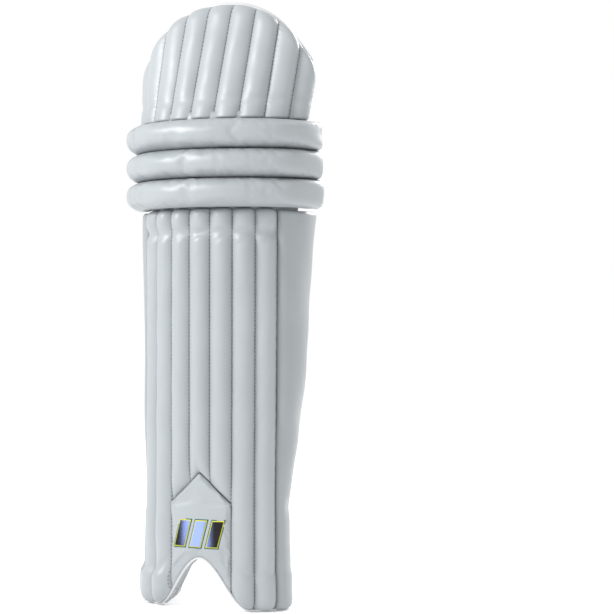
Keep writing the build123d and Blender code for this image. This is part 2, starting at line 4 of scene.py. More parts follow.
import bmesh
import bpy
import numpy as np
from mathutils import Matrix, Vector


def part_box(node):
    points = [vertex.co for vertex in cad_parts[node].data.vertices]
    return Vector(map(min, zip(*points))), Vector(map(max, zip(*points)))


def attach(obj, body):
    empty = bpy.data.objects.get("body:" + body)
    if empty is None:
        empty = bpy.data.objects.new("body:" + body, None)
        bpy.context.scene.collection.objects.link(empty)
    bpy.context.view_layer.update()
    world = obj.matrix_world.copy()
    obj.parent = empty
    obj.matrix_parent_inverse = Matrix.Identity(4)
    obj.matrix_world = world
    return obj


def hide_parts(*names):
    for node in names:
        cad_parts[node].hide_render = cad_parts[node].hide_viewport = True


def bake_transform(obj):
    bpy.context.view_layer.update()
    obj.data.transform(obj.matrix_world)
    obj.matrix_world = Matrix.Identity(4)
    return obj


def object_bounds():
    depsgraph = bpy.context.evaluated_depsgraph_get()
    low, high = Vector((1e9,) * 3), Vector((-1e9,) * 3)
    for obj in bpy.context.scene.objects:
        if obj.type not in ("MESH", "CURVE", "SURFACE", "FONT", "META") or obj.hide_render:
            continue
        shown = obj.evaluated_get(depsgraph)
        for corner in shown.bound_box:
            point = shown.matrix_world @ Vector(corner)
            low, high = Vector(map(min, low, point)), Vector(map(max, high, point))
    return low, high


# The looks of the batting leg pad: quilted vinyl, mesh linings, printed panels and woven straps.
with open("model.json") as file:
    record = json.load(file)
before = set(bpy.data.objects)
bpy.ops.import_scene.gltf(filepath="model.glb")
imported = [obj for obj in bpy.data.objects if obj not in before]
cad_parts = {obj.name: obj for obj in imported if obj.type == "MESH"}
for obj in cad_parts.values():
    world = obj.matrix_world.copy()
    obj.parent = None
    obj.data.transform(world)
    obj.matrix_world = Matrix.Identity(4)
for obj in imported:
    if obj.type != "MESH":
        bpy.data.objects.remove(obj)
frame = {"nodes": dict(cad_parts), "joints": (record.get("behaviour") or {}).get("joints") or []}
cad_low, cad_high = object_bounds()

# ---- sizes, in metres ------------------------------------------------------------------------------------
FRONT_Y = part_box("shin_roll_4")[0].y
SHIN_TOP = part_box("shin_roll_4")[1].z
PAD_TOP = cad_high.z
AXIS_Y = FRONT_Y + 0.076                 # the leg's axis
SHIN_HEIGHTS = (0.0, 0.128, 0.260, SHIN_TOP)
SHIN_HALF_WIDTHS = (0.090, 0.087, 0.0955, 0.102)
SHIN_DEPTHS = (0.048, 0.050, 0.067, 0.082)
KNEE_LINE = (0.102, 0.078)               # half width and depth of the knee rolls' centre line
KNEE_LINING = (0.082, 0.058)
KNEE_Y = AXIS_Y + 0.002
KNEE_PITCH = 0.032
KNEE_TOP = SHIN_TOP + 3 * KNEE_PITCH
THIGH_BOTTOM = KNEE_TOP + 0.001
THIGH_RISE = PAD_TOP - THIGH_BOTTOM
THIGH_BASE = (0.109, 0.082)
THIGH_TIP = (0.126, 0.062)
THIGH_LEAN = math.tan(math.radians(20))
ROLL = 0.027
SHIN_EDGE = 3.5 * ROLL
THIGH_ROLL = 0.030
THIGH_EDGE = 4.5 * THIGH_ROLL
ROLL_BACK = 0.0172                       # depth of a shin roll's back
VALLEY = 0.0074                          # depth of a sewn valley below the rolls' crowns
WING = 0.011
CHEVRON_APEX = 0.150
CHEVRON_CORNER = 0.116
ARCH = (0.056, 0.060)                    # height and half width of the opening over the shoe
WING_TOP = SHIN_TOP - 0.003
REAR_HEIGHTS = (0.0, 0.099, 0.128, 0.300, WING_TOP)
REAR_Y = (-0.003, -0.001, 0.003, 0.033, 0.043)
LINING = 0.0205
PAD_DEPTH = 0.0222
BOLSTER_BOTTOM = 0.092
BOLSTER_TOP = SHIN_TOP - 0.008
KNEE_SIDE = (math.radians(100.5), math.radians(115))   # where the knee's side pads begin and end
NODES, WEIGHTS = np.polynomial.legendre.leggauss(10)


# ---- shader maths ----------------------------------------------------------------------------------------
class Value:
    """A socket that can be added, multiplied and so on, and makes the Math nodes for it."""

    def __init__(self, tree, socket):
        self.tree, self.socket = tree, socket

    def math(self, operation, *others):
        return self.tree.node("ShaderNodeMath", {"operation": operation}, [self, *others])

    def __add__(self, other):
        return self.math("ADD", other)

    def __sub__(self, other):
        return self.math("SUBTRACT", other)

    def __mul__(self, other):
        return self.math("MULTIPLY", other)

    def __truediv__(self, other):
        return self.math("DIVIDE", other)

    def __rsub__(self, other):
        return self.tree.node("ShaderNodeMath", {"operation": "SUBTRACT"}, [other, self])

    __radd__ = __add__
    __rmul__ = __mul__

    def __lt__(self, other):
        return self.math("LESS_THAN", other)

    def __gt__(self, other):
        return self.math("GREATER_THAN", other)

    def __mod__(self, other):
        return self.math("FLOORED_MODULO", other)

    def abs(self):
        return self.math("ABSOLUTE")

    def sin(self):
        return self.math("SINE")

    def smallest(self, other):
        return self.math("MINIMUM", other)

    def largest(self, other):
        return self.math("MAXIMUM", other)

    def power(self, other):
        return self.math("POWER", other)

    def ramp(self, low, high, start=0.0, end=1.0):
        """Turns low..high into start..end, without going past either."""
        settings = {"clamp": True}
        return self.tree.node("ShaderNodeMapRange", settings, [self, low, high, start, end])


class Finish:
    """A material being made: a Principled shader, and one method that adds any node."""

    def __init__(self, name, roughness=0.5, specular=0.5, **fixed):
        self.material = bpy.data.materials.new(name)
        self.material.use_nodes = True
        self.nodes = self.material.node_tree.nodes
        self.links = self.material.node_tree.links
        self.shader = self.nodes["Principled BSDF"]
        self.set("Roughness", roughness)
        self.set("Specular IOR Level", specular)
        for key, value in fixed.items():
            self.set(key.replace("_", " ").title(), value)

    def set(self, socket, value):
        if isinstance(value, Value):
            self.links.new(value.socket, self.shader.inputs[socket])
        else:
            self.shader.inputs[socket].default_value = value

    def node(self, kind, settings=None, inputs=(), output=0):
        made = self.nodes.new(kind)
        for key, value in (settings or {}).items():
            setattr(made, key, value)
        pairs = inputs.items() if isinstance(inputs, dict) else enumerate(inputs)
        for key, value in pairs:
            if isinstance(value, Value):
                self.links.new(value.socket, made.inputs[key])
            elif value is not None:
                made.inputs[key].default_value = value
        return Value(self, made.outputs[output])

    def place(self):
        return self.node("ShaderNodeTexCoord", output=3)

    def across_along(self):
        """The piece's own UV map, in metres."""
        uv = self.node("ShaderNodeUVMap", {"uv_map": "cloth"})
        split = self.node("ShaderNodeSeparateXYZ", inputs=[uv])
        return split, Value(self, split.socket.node.outputs[1]), uv

    def noise(self, scale, detail=3.0, where=None):
        return self.node("ShaderNodeTexNoise", inputs={
            "Vector": where or self.place(), "Scale": scale, "Detail": detail, "Roughness": 0.55})

    def mix(self, factor, first, second):
        """A colour mix. first and second are colours or sockets."""
        return self.node("ShaderNodeMix", {"data_type": "RGBA"}, {0: factor, 6: first, 7: second}, output=2)

    def mottle(self, scale, first, second):
        """Soft patches of two colours."""
        return self.mix(self.noise(scale).ramp(0.3, 0.7), first, second)

    def bump(self, height, depth, strength=1.0):
        made = self.node("ShaderNodeBump", inputs={"Strength": strength, "Distance": depth, "Height": height})
        self.set("Normal", made)


def colour(red, green, blue):
    return (red, green, blue, 1.0)


def shade(tint, share):
    """The same colour, darkened or lightened."""
    return tuple(min(c * share, 1.0) for c in tint[:3]) + (1.0,)


WHITE_VINYL = colour(0.335, 0.360, 0.377)
LINING_WHITE = colour(0.50, 0.488, 0.518)
BLACK = colour(0.008, 0.008, 0.009)
TEAL = colour(0.0, 0.36, 0.45)
YELLOW = colour(0.62, 0.60, 0.02)
DEEP_TEAL = colour(0.0, 0.10, 0.11)
PERIWINKLE = colour(0.27, 0.36, 0.78)


def vinyl(name, tint, roughness=0.38, seam_pitch=None):
    """Smooth synthetic leather: fine pebble grain, faint handling marks, and sunk stitches along the seams whose
    dents are darkened with painted shade.
    """
    f = Finish(name, roughness, coat_weight=0.06, coat_roughness=0.35)
    cells = f.node("ShaderNodeTexVoronoi", {"feature": "SMOOTH_F1"}, {"Vector": f.place(), "Scale": 1100.0})
    soil = f.noise(14.0).ramp(0.35, 0.7)
    tinted = f.mix(soil, tint, shade(tint, 0.95))
    relief = cells + f.noise(420.0) * 0.8
    if seam_pitch:
        u, v, _ = f.across_along()
        off_seam = (((u / seam_pitch + 100.0) % 1.0) - 0.5).abs() * seam_pitch
        stitch_and_painted_shade = (off_seam < 0.0007) * (((v / 0.0042) % 1.0) < 0.55)
        # painted shade: the real stitches' dents are darkened to 0.45 of the vinyl's colour
        tinted = f.mix(stitch_and_painted_shade * 0.6, tinted, shade(tint, 0.45))
        relief = relief - stitch_and_painted_shade * 4.0
    f.set("Base Color", tinted)
    f.set("Roughness", f.noise(60.0).ramp(0.3, 0.7, roughness - 0.05, roughness + 0.08))
    f.bump(relief, 0.00014, 0.55)
    return f.material


def spacer_mesh(name, thread, hole, pitch, hole_share, seam=None, below=None):
    """Knitted mesh with rows of staggered slanting holes. seam is a height and how it falls with the distance
    from the pad's middle: the cloth under it is plain and ribbed, of the colour below."""
    f = Finish(name, 0.75, sheen_weight=0.25)
    u, v, _ = f.across_along()
    rows = v / (pitch * 0.58)
    odd = rows.math("FLOOR") % 2.0
    y = rows % 1.0 - 0.5
    x = (u / pitch + odd * 0.5) % 1.0 - 0.5 + y * 0.30
    near = (x * x * 1.6 + y * y * 0.42).power(0.5)
    open_mask = near.ramp(hole_share, hole_share * 0.62)
    relief = (1.0 - open_mask) + near * 0.4
    cloth = f.mottle(30.0, thread, shade(thread, 0.93))
    if seam:
        above = v + (u.abs() - 0.022) * seam[1] > seam[0]
        open_mask = open_mask * above
        cloth = f.mix(above, below, cloth)
        ribs = (v * (2 * math.pi / 0.0016)).sin() * 0.25
        relief = relief * above + (1.0 - above) * ribs
    f.set("Base Color", f.mix(open_mask, cloth, hole))
    f.bump(relief, 0.0005, 0.7)
    return f.material


def ribbed_cloth(name, tint, pitch=0.0012):
    """Plain woven lining with fine upright ribs."""
    f = Finish(name, 0.8, sheen_weight=0.3)
    u, v, _ = f.across_along()
    ribs = (u * (2 * math.pi / pitch)).sin()
    picks = (v * (2 * math.pi / pitch * 0.8)).sin()
    f.set("Base Color", f.mottle(25.0, tint, shade(tint, 0.94)))
    f.bump(ribs * 0.5 + picks * 0.25 + f.noise(500.0) * 0.4, 0.00025, 0.6)
    return f.material


def webbing(name, width, stripes):
    """Black grosgrain with woven stripes, given from the bottom edge up as shares of its width."""
    f = Finish(name, 0.8, 0.12)
    u, v, uv = f.across_along()
    tint = f.mottle(70.0, BLACK, colour(0.022, 0.021, 0.024))
    waves = (u * (2 * math.pi / 0.0042)).sin() * 0.00028 + f.noise(600.0, where=uv) * 0.0004 - 0.0002
    for low, high, thread in stripes:
        share = (v + waves * (1.0 if thread is YELLOW else 0.3)) / width + 0.5
        tint = f.mix((share > low) * (share < high), tint, thread)
    rib = (u * (2 * math.pi / 0.0017)).sin()
    tint = f.mix(rib.ramp(-1.0, -0.3, 0.35, 0.0), tint, BLACK)
    sewn = (u - 0.0155).abs() < 0.0006
    f.set("Base Color", f.mix(sewn * 0.9, tint, BLACK))
    f.bump(rib + (v * (2 * math.pi / 0.0011)).sin() * 0.3 - sewn * 2.0, 0.0003, 0.8)
    return f.material


def plastic(name):
    """Black moulded nylon with a fine spark finish."""
    f = Finish(name, 0.4)
    f.set("Base Color", f.mottle(200.0, colour(0.014, 0.014, 0.015), colour(0.03, 0.03, 0.032)))
    f.set("Roughness", f.noise(90.0).ramp(0.3, 0.7, 0.32, 0.48))
    f.bump(f.noise(1500.0), 0.00008, 0.5)
    return f.material


def fuzzy_tape(name, tint):
    """Hook and loop tape: a dense pile of tiny loops."""
    f = Finish(name, 0.95, 0.15)
    f.set("Base Color", f.mottle(700.0, tint, shade(tint, 2.8)))
    f.bump(f.noise(1600.0, 5.0), 0.0006, 0.9)
    return f.material


def hidden_wood(name):
    """Split cane: long pale fibres."""
    f = Finish(name, 0.55)
    stretched = f.node("ShaderNodeMapping", inputs={"Vector": f.place(), "Scale": (400.0, 400.0, 12.0)})
    grain = f.noise(1.0, 4.0, stretched)
    f.set("Base Color", f.mix(grain.ramp(0.3, 0.7), colour(0.55, 0.38, 0.19), colour(0.38, 0.24, 0.1)))
    f.bump(grain, 0.0004, 0.5)
    return f.material


def fibre_board(name):
    """Pressed board faced with pale lining paper: flecked and matt."""
    f = Finish(name, 0.85)
    flecks = f.noise(500.0, 6.0)
    f.set("Base Color", f.mix(flecks.ramp(0.35, 0.65), colour(0.50, 0.50, 0.51), colour(0.44, 0.44, 0.45)))
    f.bump(flecks, 0.0003, 0.5)
    return f.material


def halftone(u, v, fade, pitch=0.0034):
    """Dots that grow as fade goes from 0 to 1, on a diagonal grid: 1 where the ink is dark."""
    across, along = (u + v) / pitch, (u - v) / pitch
    x, y = across % 1.0 - 0.5, along % 1.0 - 0.5
    return (x * x + y * y).power(0.5) < fade * 0.85


def outlined(f, inside, under, fill, edge, rim=BLACK, edge_width=0.0022):
    """Lays a printed shape over a colour: its fill, its bright edge and a thin dark rim round it."""
    ink = f.mix(inside < edge_width, fill, edge)
    shape = f.mix(inside > 0.0, rim, ink)
    return f.mix(inside > -0.0013, under, shape)


def slanted_bars(u, v, left, bottom, top, width, gap, lean=0.28):
    """How far inside the nearest of three slanted bars each place is."""
    along = u - (v - bottom) * lean - left
    starts = [along - number * (width + gap) for number in range(3)]
    one, two, three = [start.smallest(width - start) for start in starts]
    return one.largest(two).largest(three).smallest(v - bottom).smallest(top - v)


def printed_lining(name):
    """The flap's smooth lining, printed with two broad chevrons and three slanted bars that fade in dots."""
    f = Finish(name, 0.5, 0.2)
    u, v, _ = f.across_along()
    u, v = 0.0 - u, v - THIGH_BOTTOM  # from behind, the print's right is the cover's left
    rise = u + v
    dark = halftone(u, v, rise.ramp(-0.004, 0.062))
    ink = f.mix(dark, PERIWINKLE, BLACK)
    paper = f.mottle(14.0, LINING_WHITE, shade(LINING_WHITE, 0.95))
    for point, edge in ((-0.062, YELLOW), (-0.002, TEAL)):
        along = u + (v - 0.093).abs() - point
        arms = along.smallest(0.048 - along) * 0.71
        inside = arms.smallest(0.1185 - v).smallest((rise + 0.028) * 0.71)
        paper = outlined(f, inside, paper, ink, edge)
    bars = slanted_bars(u, v, 0.008, 0.030, 0.062, 0.0165, 0.0040)
    paper = f.mix(bars > -0.0030, paper, LINING_WHITE)
    shaded = f.mix(halftone(u, v, ((u - 0.043).abs() / 0.033).ramp(0.15, 0.95), 0.0019), PERIWINKLE, BLACK)
    paper = outlined(f, bars, paper, shaded, YELLOW, DEEP_TEAL, 0.0011)
    f.set("Base Color", paper)
    f.bump(f.noise(420.0), 0.0001, 0.5)
    return f.material


def printed_centre(name):
    """The panel against the shin bone: a black chevron, and groups of pale blue chevrons below it."""
    f = Finish(name, 0.7, 0.2)
    u, v, _ = f.across_along()
    cloth = f.mottle(20.0, LINING_WHITE, shade(LINING_WHITE, 0.95))
    band = v + u.abs() * 0.55
    period, apex = 0.0330, 0.236
    below = band < apex - 0.0075
    for centre, phase in ((0.0, 0.0), (0.0205, 0.5)):
        away = (u.abs() - centre).abs()
        place = 1.0 - ((v + away * 0.86 - apex + 0.012) / period + phase) % 1.0
        for start, depth in ((0.0, 0.15), (0.23, 0.12), (0.42, 0.09)):
            inside = (place - start) / depth
            taper = (1.0 - away / 0.0160).largest(0.0)
            stroke = (inside > 0.0) * (inside < taper + 0.12) * (away < 0.0150) * below
            ink = f.mix(inside.ramp(0.1, 0.45), colour(0.11, 0.15, 0.40), colour(0.50, 0.55, 0.80))
            cloth = f.mix(stroke, cloth, ink)
    black = (band < apex) * (band > apex - 0.0065)
    f.set("Base Color", f.mix(black, cloth, BLACK))
    f.bump((u * (2 * math.pi / 0.0011)).sin() + f.noise(500.0), 0.0002, 0.5)
    return f.material


def emblem_print(name):
    """Bars of periwinkle that fade through dots to black."""
    f = Finish(name, 0.45, 0.2)
    u, v, _ = f.across_along()
    dark = halftone(u, v, ((u + 0.002).abs() / 0.03).ramp(0.15, 0.95), 0.0019)
    f.set("Base Color", f.mix(dark, PERIWINKLE, BLACK))
    f.bump(f.noise(900.0), 0.0001, 0.4)
    return f.material


def flat_print(name, tint):
    f = Finish(name, 0.45, 0.2)
    f.set("Base Color", f.mottle(200.0, tint, shade(tint, 0.85)))
    f.bump(f.noise(900.0), 0.0001, 0.4)
    return f.material


PAD_VINYL = vinyl("pad_vinyl", WHITE_VINYL)
# painted shade: the wings' vinyl is the pad's vinyl darkened to 0.88, standing in for the shade that falls on the
# wings
WING_VINYL_PAINTED_SHADE = vinyl("wing_vinyl_painted_shade", shade(WHITE_VINYL, 0.88))
SHIN_VINYL = vinyl("shin_roll_vinyl", WHITE_VINYL, 0.38, ROLL)
THIGH_VINYL = vinyl("thigh_roll_vinyl", WHITE_VINYL, 0.38, THIGH_ROLL)
LINING_VINYL = vinyl("lining_vinyl", colour(0.44, 0.458, 0.468), 0.45)
PIPING = vinyl("white_piping", colour(0.53, 0.54, 0.55), 0.4)
RIBBED_WHITE = colour(0.52, 0.495, 0.51)
BOLSTER_CLOTH = spacer_mesh("bolster_cloth", colour(0.47, 0.52, 0.51), colour(0.035, 0.05, 0.05), 0.0040,
                            0.33, (0.219, 0.36), RIBBED_WHITE)
LOCATOR_MESH = spacer_mesh("locator_mesh", colour(0.54, 0.53, 0.565), colour(0.20, 0.20, 0.235), 0.0037, 0.26)
RIBBED = ribbed_cloth("ribbed_lining", RIBBED_WHITE)
CENTRE_PRINT = printed_centre("centre_print")
FLAP_PRINT = printed_lining("flap_lining_print")
PLASTIC = plastic("black_nylon")
TAPE = fuzzy_tape("loop_tape", colour(0.014, 0.014, 0.015))
CANE = hidden_wood("split_cane")
BOARD = fibre_board("fibre_board")
EMBLEM = emblem_print("emblem_print")
EMBLEM_EDGE = flat_print("emblem_yellow_edge", YELLOW)
EMBLEM_RIM = flat_print("emblem_teal_rim", DEEP_TEAL)
BADGE_INK = flat_print("badge_black", BLACK)
BADGE_FACE = flat_print("badge_grey", colour(0.55, 0.57, 0.57))
STRAPS = {                               # the height of each strap's middle, and its width
    "knee": (SHIN_TOP + 0.019, 0.028),
    "calf": (0.330, 0.056),
    "ankle": (0.116, 0.028),
}
TAB_SPAN = {"knee": 15, "calf": 27, "ankle": 27}  # degrees of the left side that each tab covers
WIDE_STRIPES = ((0.105, 0.235, TEAL), (0.29, 0.335, YELLOW), (0.685, 0.73, YELLOW), (0.835, 0.89, TEAL))
NARROW_STRIPES = ((0.08, 0.235, TEAL), (0.25, 0.32, YELLOW), (0.62, 0.69, YELLOW), (0.80, 0.87, TEAL))
WEBBING = {
    name: webbing(f"{name}_webbing", width, WIDE_STRIPES if name == "calf" else NARROW_STRIPES)
    for name, (_, width) in STRAPS.items()
}


# ---- the shell's surfaces --------------------------------------------------------------------------------
def walk(angle, a, b):
    """How far round an ellipse each angle is from its front, for arrays of angles and radii."""
    turns = angle[..., None] * (NODES + 1) / 2
    speed = np.hypot(a[..., None] * np.cos(turns), b[..., None] * np.sin(turns))
    return angle * (speed * WEIGHTS / 2).sum(-1)


def arc_angle(length, a, b):
    """The angle on an ellipse that is this far round from its front."""
    angle = length / ((a + b) / 2)
    for _ in range(6):
        angle = angle - (walk(angle, a, b) - length) / np.hypot(a * np.cos(angle), b * np.sin(angle))
    return angle


def ring_point(a, b, centre_y, angle, z, depth):
    return np.stack([(a - depth) * np.sin(angle), centre_y - (b - depth) * np.cos(angle), z + 0 * angle], -1)


def shin_radii(z):
    a = np.interp(z, SHIN_HEIGHTS, SHIN_HALF_WIDTHS)
    b = np.interp(z, SHIN_HEIGHTS, SHIN_DEPTHS)
    return a, b, FRONT_Y + b


def shin(length, z, depth):
    """Points on the shin: length round from the front centre, height, and depth below the outer surface."""
    length, z, depth = np.broadcast_arrays(*[np.asarray(v, float) for v in (length, z, depth)])
    a, b, centre = shin_radii(z)
    return ring_point(a, b, centre, arc_angle(length, a, b), z, depth)


def thigh(length, z, depth):
    length, z, depth = np.broadcast_arrays(*[np.asarray(v, float) for v in (length, z, depth)])
    share = (z - THIGH_BOTTOM) / (THIGH_RISE + 0.010)
    a = THIGH_BASE[0] + share * (THIGH_TIP[0] - THIGH_BASE[0])
    b = THIGH_BASE[1] + share * (THIGH_TIP[1] - THIGH_BASE[1])
    centre = AXIS_Y - 0.071 + b + THIGH_LEAN * (z - THIGH_BOTTOM)
    return ring_point(a, b, centre, arc_angle(length, a, b), z, depth)


def knee(angle, z, depth):
    angle, z, depth = np.broadcast_arrays(*[np.asarray(v, float) for v in (angle, z, depth)])
    a, b = KNEE_LINING
    return ring_point(a, b, KNEE_Y, angle, z, depth)


def rear_length(z, turn=0.0):
    """How far round the wing's rear edge is at each height, or a line that is turned forward of it."""
    z = np.asarray(z, float)
    a, b, centre = shin_radii(z)
    rear_y = AXIS_Y + np.interp(z, REAR_HEIGHTS, REAR_Y)
    return walk(np.arccos((centre - rear_y) / b) - turn, a, b)


def arch_height(x):
    return np.where(np.abs(x) < ARCH[1], ARCH[0] * (0.5 + 0.5 * np.cos(np.pi * x / ARCH[1])), 0.0)


def bottom_edge(length):
    """The height of the pad's bottom edge at each length round."""
    length = np.asarray(length, float)
    return arch_height(shin(length, 0.02 + 0 * length, 0.006)[..., 0]) + 0.0015


def chevron_height(x):
    slope = (CHEVRON_APEX - CHEVRON_CORNER) / (1.5 * ROLL)
    return CHEVRON_APEX - slope * np.abs(x)


def flap_height(x, inset=0.0):
    half = THIGH_BASE[0] + 0.006 - inset
    share = np.clip(np.abs(x) / half, 0, 1)
    return THIGH_BOTTOM + (1 - share ** 2.25) ** (1 / 2.25) * (THIGH_RISE - inset)


def ease(value):
    value = np.clip(value, 0, 1)
    return value * value * (3 - 2 * value)


def wander(points, size, seed):
    """Smooth repeatable noise in -1..1 at each point, from a few sine waves."""
    rng = np.random.default_rng(seed)
    total = np.zeros(points.shape[:-1])
    for _ in range(6):
        direction = rng.normal(size=3)
        direction *= (2 * np.pi / size) * rng.uniform(0.6, 1.5) / np.linalg.norm(direction)
        total += np.sin(points @ direction + rng.uniform(0, 6.28))
    return total / 3.2


# ---- mesh making -----------------------------------------------------------------------------------------
def link_new(name, data):
    made = bpy.data.objects.new(name, data)
    bpy.context.scene.collection.objects.link(made)
    return made


def add_mesh(name, points, faces, material, uv=None, smooth=True):
    mesh = bpy.data.meshes.new(name)
    mesh.from_pydata([tuple(p) for p in points], [], faces)
    mesh.update()
    if uv is not None:
        layer = mesh.uv_layers.new(name="cloth")
        loops = np.zeros(len(mesh.loops), int)
        mesh.loops.foreach_get("vertex_index", loops)
        layer.data.foreach_set("uv", np.asarray(uv, float)[loops].ravel())
    mesh.materials.append(material)
    mesh.polygons.foreach_set("use_smooth", [smooth] * len(mesh.polygons))
    return link_new(name, mesh)


def outward(piece):
    """Turns every face of a closed piece outward."""
    shell = bmesh.new()
    shell.from_mesh(piece.data)
    bmesh.ops.recalc_face_normals(shell, faces=shell.faces)
    shell.to_mesh(piece.data)
    shell.free()
    return piece


def sleeve(name, loops, material, uv=None, ends="fan"):
    """A closed piece through a stack of closed loops, an array of rows by columns by xyz. Its two ends close with
    a fan round their middle, or with a strip between a loop's first half and its second."""
    rows, columns = loops.shape[:2]
    points = loops.reshape(-1, 3)
    uvs = None if uv is None else uv.reshape(-1, 2)
    faces = []
    for row in range(rows - 1):
        for column in range(columns):
            after = (column + 1) % columns
            base = row * columns
            faces.append((base + column, base + after, base + columns + after, base + columns + column))
    top = (rows - 1) * columns
    if ends == "fan":
        points = np.vstack([points, loops[0].mean(0), loops[-1].mean(0)])
        if uvs is not None:
            uvs = np.vstack([uvs, uv[0].mean(0), uv[-1].mean(0)])
        first, last = rows * columns, rows * columns + 1
        for column in range(columns):
            after = (column + 1) % columns
            faces.append((first, after, column))
            faces.append((last, top + column, top + after))
    else:
        for column in range(columns // 2 - 1):
            mirror = columns - 1 - column
            for base in (0, top):
                faces.append((base + column, base + column + 1, base + mirror - 1, base + mirror))
    return outward(add_mesh(name, points, faces, material, uvs))


def stuff(piece, held, most):
    """Swells a pad's cover with cloth physics: held points stay, and no other moves further than most."""
    mesh = piece.data
    before = np.zeros((len(mesh.vertices), 3))
    mesh.vertices.foreach_get("co", before.ravel())
    seams = piece.vertex_groups.new(name="seams")
    seams.add(np.flatnonzero(held).tolist(), 1.0, "REPLACE")
    cloth = piece.modifiers.new("stuffing", "CLOTH")
    settings = cloth.settings
    settings.quality = 4
    settings.mass = 0.2
    settings.tension_stiffness = settings.compression_stiffness = 15
    settings.bending_stiffness = 0.3
    settings.use_pressure = True
    settings.uniform_pressure_force = 4.0
    settings.shrink_min = -0.025
    settings.vertex_group_mass = seams.name
    settings.effector_weights.gravity = 0.0
    cloth.collision_settings.use_collision = False
    for step in range(1, 21):
        bpy.context.scene.frame_set(step)
    result = piece.evaluated_get(bpy.context.evaluated_depsgraph_get()).data
    after = np.zeros_like(before)
    result.vertices.foreach_get("co", after.ravel())
    bpy.context.scene.frame_set(1)
    piece.modifiers.remove(cloth)
    piece.vertex_groups.remove(seams)
    move = np.nan_to_num(after - before)
    far = np.linalg.norm(move, axis=1)
    move *= (most * np.tanh(far / most) / np.maximum(far, 1e-9))[:, None]
    mesh.vertices.foreach_set("co", (before + move).ravel())
    mesh.update()


def padded_strip(name, surface, lengths, heights, outer, back, material, grid=(14, 90), swell=0.0):
    """A closed pad on a surface. lengths is its (left, right) edges and heights its (bottom, top), each a number
    or a function. outer and back give the depths of its two faces from the share across, the distances to its
    bottom and top, the height and the length round."""
    columns, rows = grid
    even = np.linspace(0, 1, columns + 1)
    across = (even + (1 - np.cos(np.pi * even)) / 2) / 2
    share = np.concatenate([across, across[::-1]])
    faceward = np.repeat([1, 0], columns + 1)
    low, high = [h if callable(h) else (lambda s, h=h: h + 0 * s) for h in heights]
    left, right = [e if callable(e) else (lambda z, e=e: e + 0 * z) for e in lengths]
    middle = (np.asarray(low(np.zeros(1))).mean() + np.asarray(high(np.zeros(1))).mean()) / 2
    rough = left(np.array([middle])) + share * (right(np.array([middle])) - left(np.array([middle])))
    v = np.linspace(0, 1, rows + 1)
    v = v * 0.6 + 0.4 * (1 - np.cos(np.pi * v)) / 2
    z = low(rough)[None, :] + v[:, None] * (high(rough) - low(rough))[None, :]
    length = left(z) + share[None, :] * (right(z) - left(z))
    from_low, from_high = z - low(rough)[None, :], high(rough)[None, :] - z
    share = share[None, :] + 0 * z
    front = outer(share, from_low, from_high, z, length)
    behind = back(share, from_low, from_high, z, length)
    depth = np.where(faceward[None, :] > 0, front, behind)
    loops = surface(length, z, depth)
    cloth = length + (1 - faceward[None, :]) * ROLL / 2
    piece = sleeve(name, loops, material, np.stack([cloth, z], -1), "strip")
    if swell:
        seams = (to_side(share) < 0.001) | (np.minimum(from_low, from_high) < 1e-5)
        stuff(piece, (seams | (faceward[None, :] == 0)).ravel(), swell)
    return piece


def flat(depth):
    """A face of a pad that is the same depth all over."""
    return lambda share, *rest: depth + 0 * share


def to_side(share):
    return np.minimum(share, 1 - share)


def crown(share):
    """1 at the middle of a stuffed channel, 0 at its two seams."""
    return (1 - np.abs(2 * share - 1) ** 2.1) ** 0.92


def rounded_end(distance, reach):
    """0 on an end's seam, 1 beyond reach."""
    t = np.clip(distance / reach, 0, 1)
    return np.sqrt(1 - (1 - t) ** 2)


def dress(piece, body=None, replaced=()):
    """Attaches a finished piece to its body, and hides the nodes that it stands for."""
    if body:
        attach(piece, body)
    if replaced:
        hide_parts(*replaced)


# ---- shin rolls ------------------------------------------------------------------------------------------
CREASE = SHIN_TOP - 0.027


def lobe_bulge(z, side):
    """How far the foot lobes stand out, below the crease over the shoe: more on the left."""
    if side < 0:
        return 0.0044 * ease((0.046 - z) / 0.013) * (0.3 + 0.7 * rounded_end(z, 0.026))
    return 0.0013 * ease((0.046 - z) / 0.010)


def gathers(share, z, points, width, spacing, phase, seed):
    """The small gathers beside a channel's seams."""
    near_seam = np.exp(-(to_side(share) * width / 0.004) ** 2)
    return 0.0003 * np.sin(z / spacing * 2 * np.pi + phase + 2 * wander(points, 0.05, seed)) * near_seam


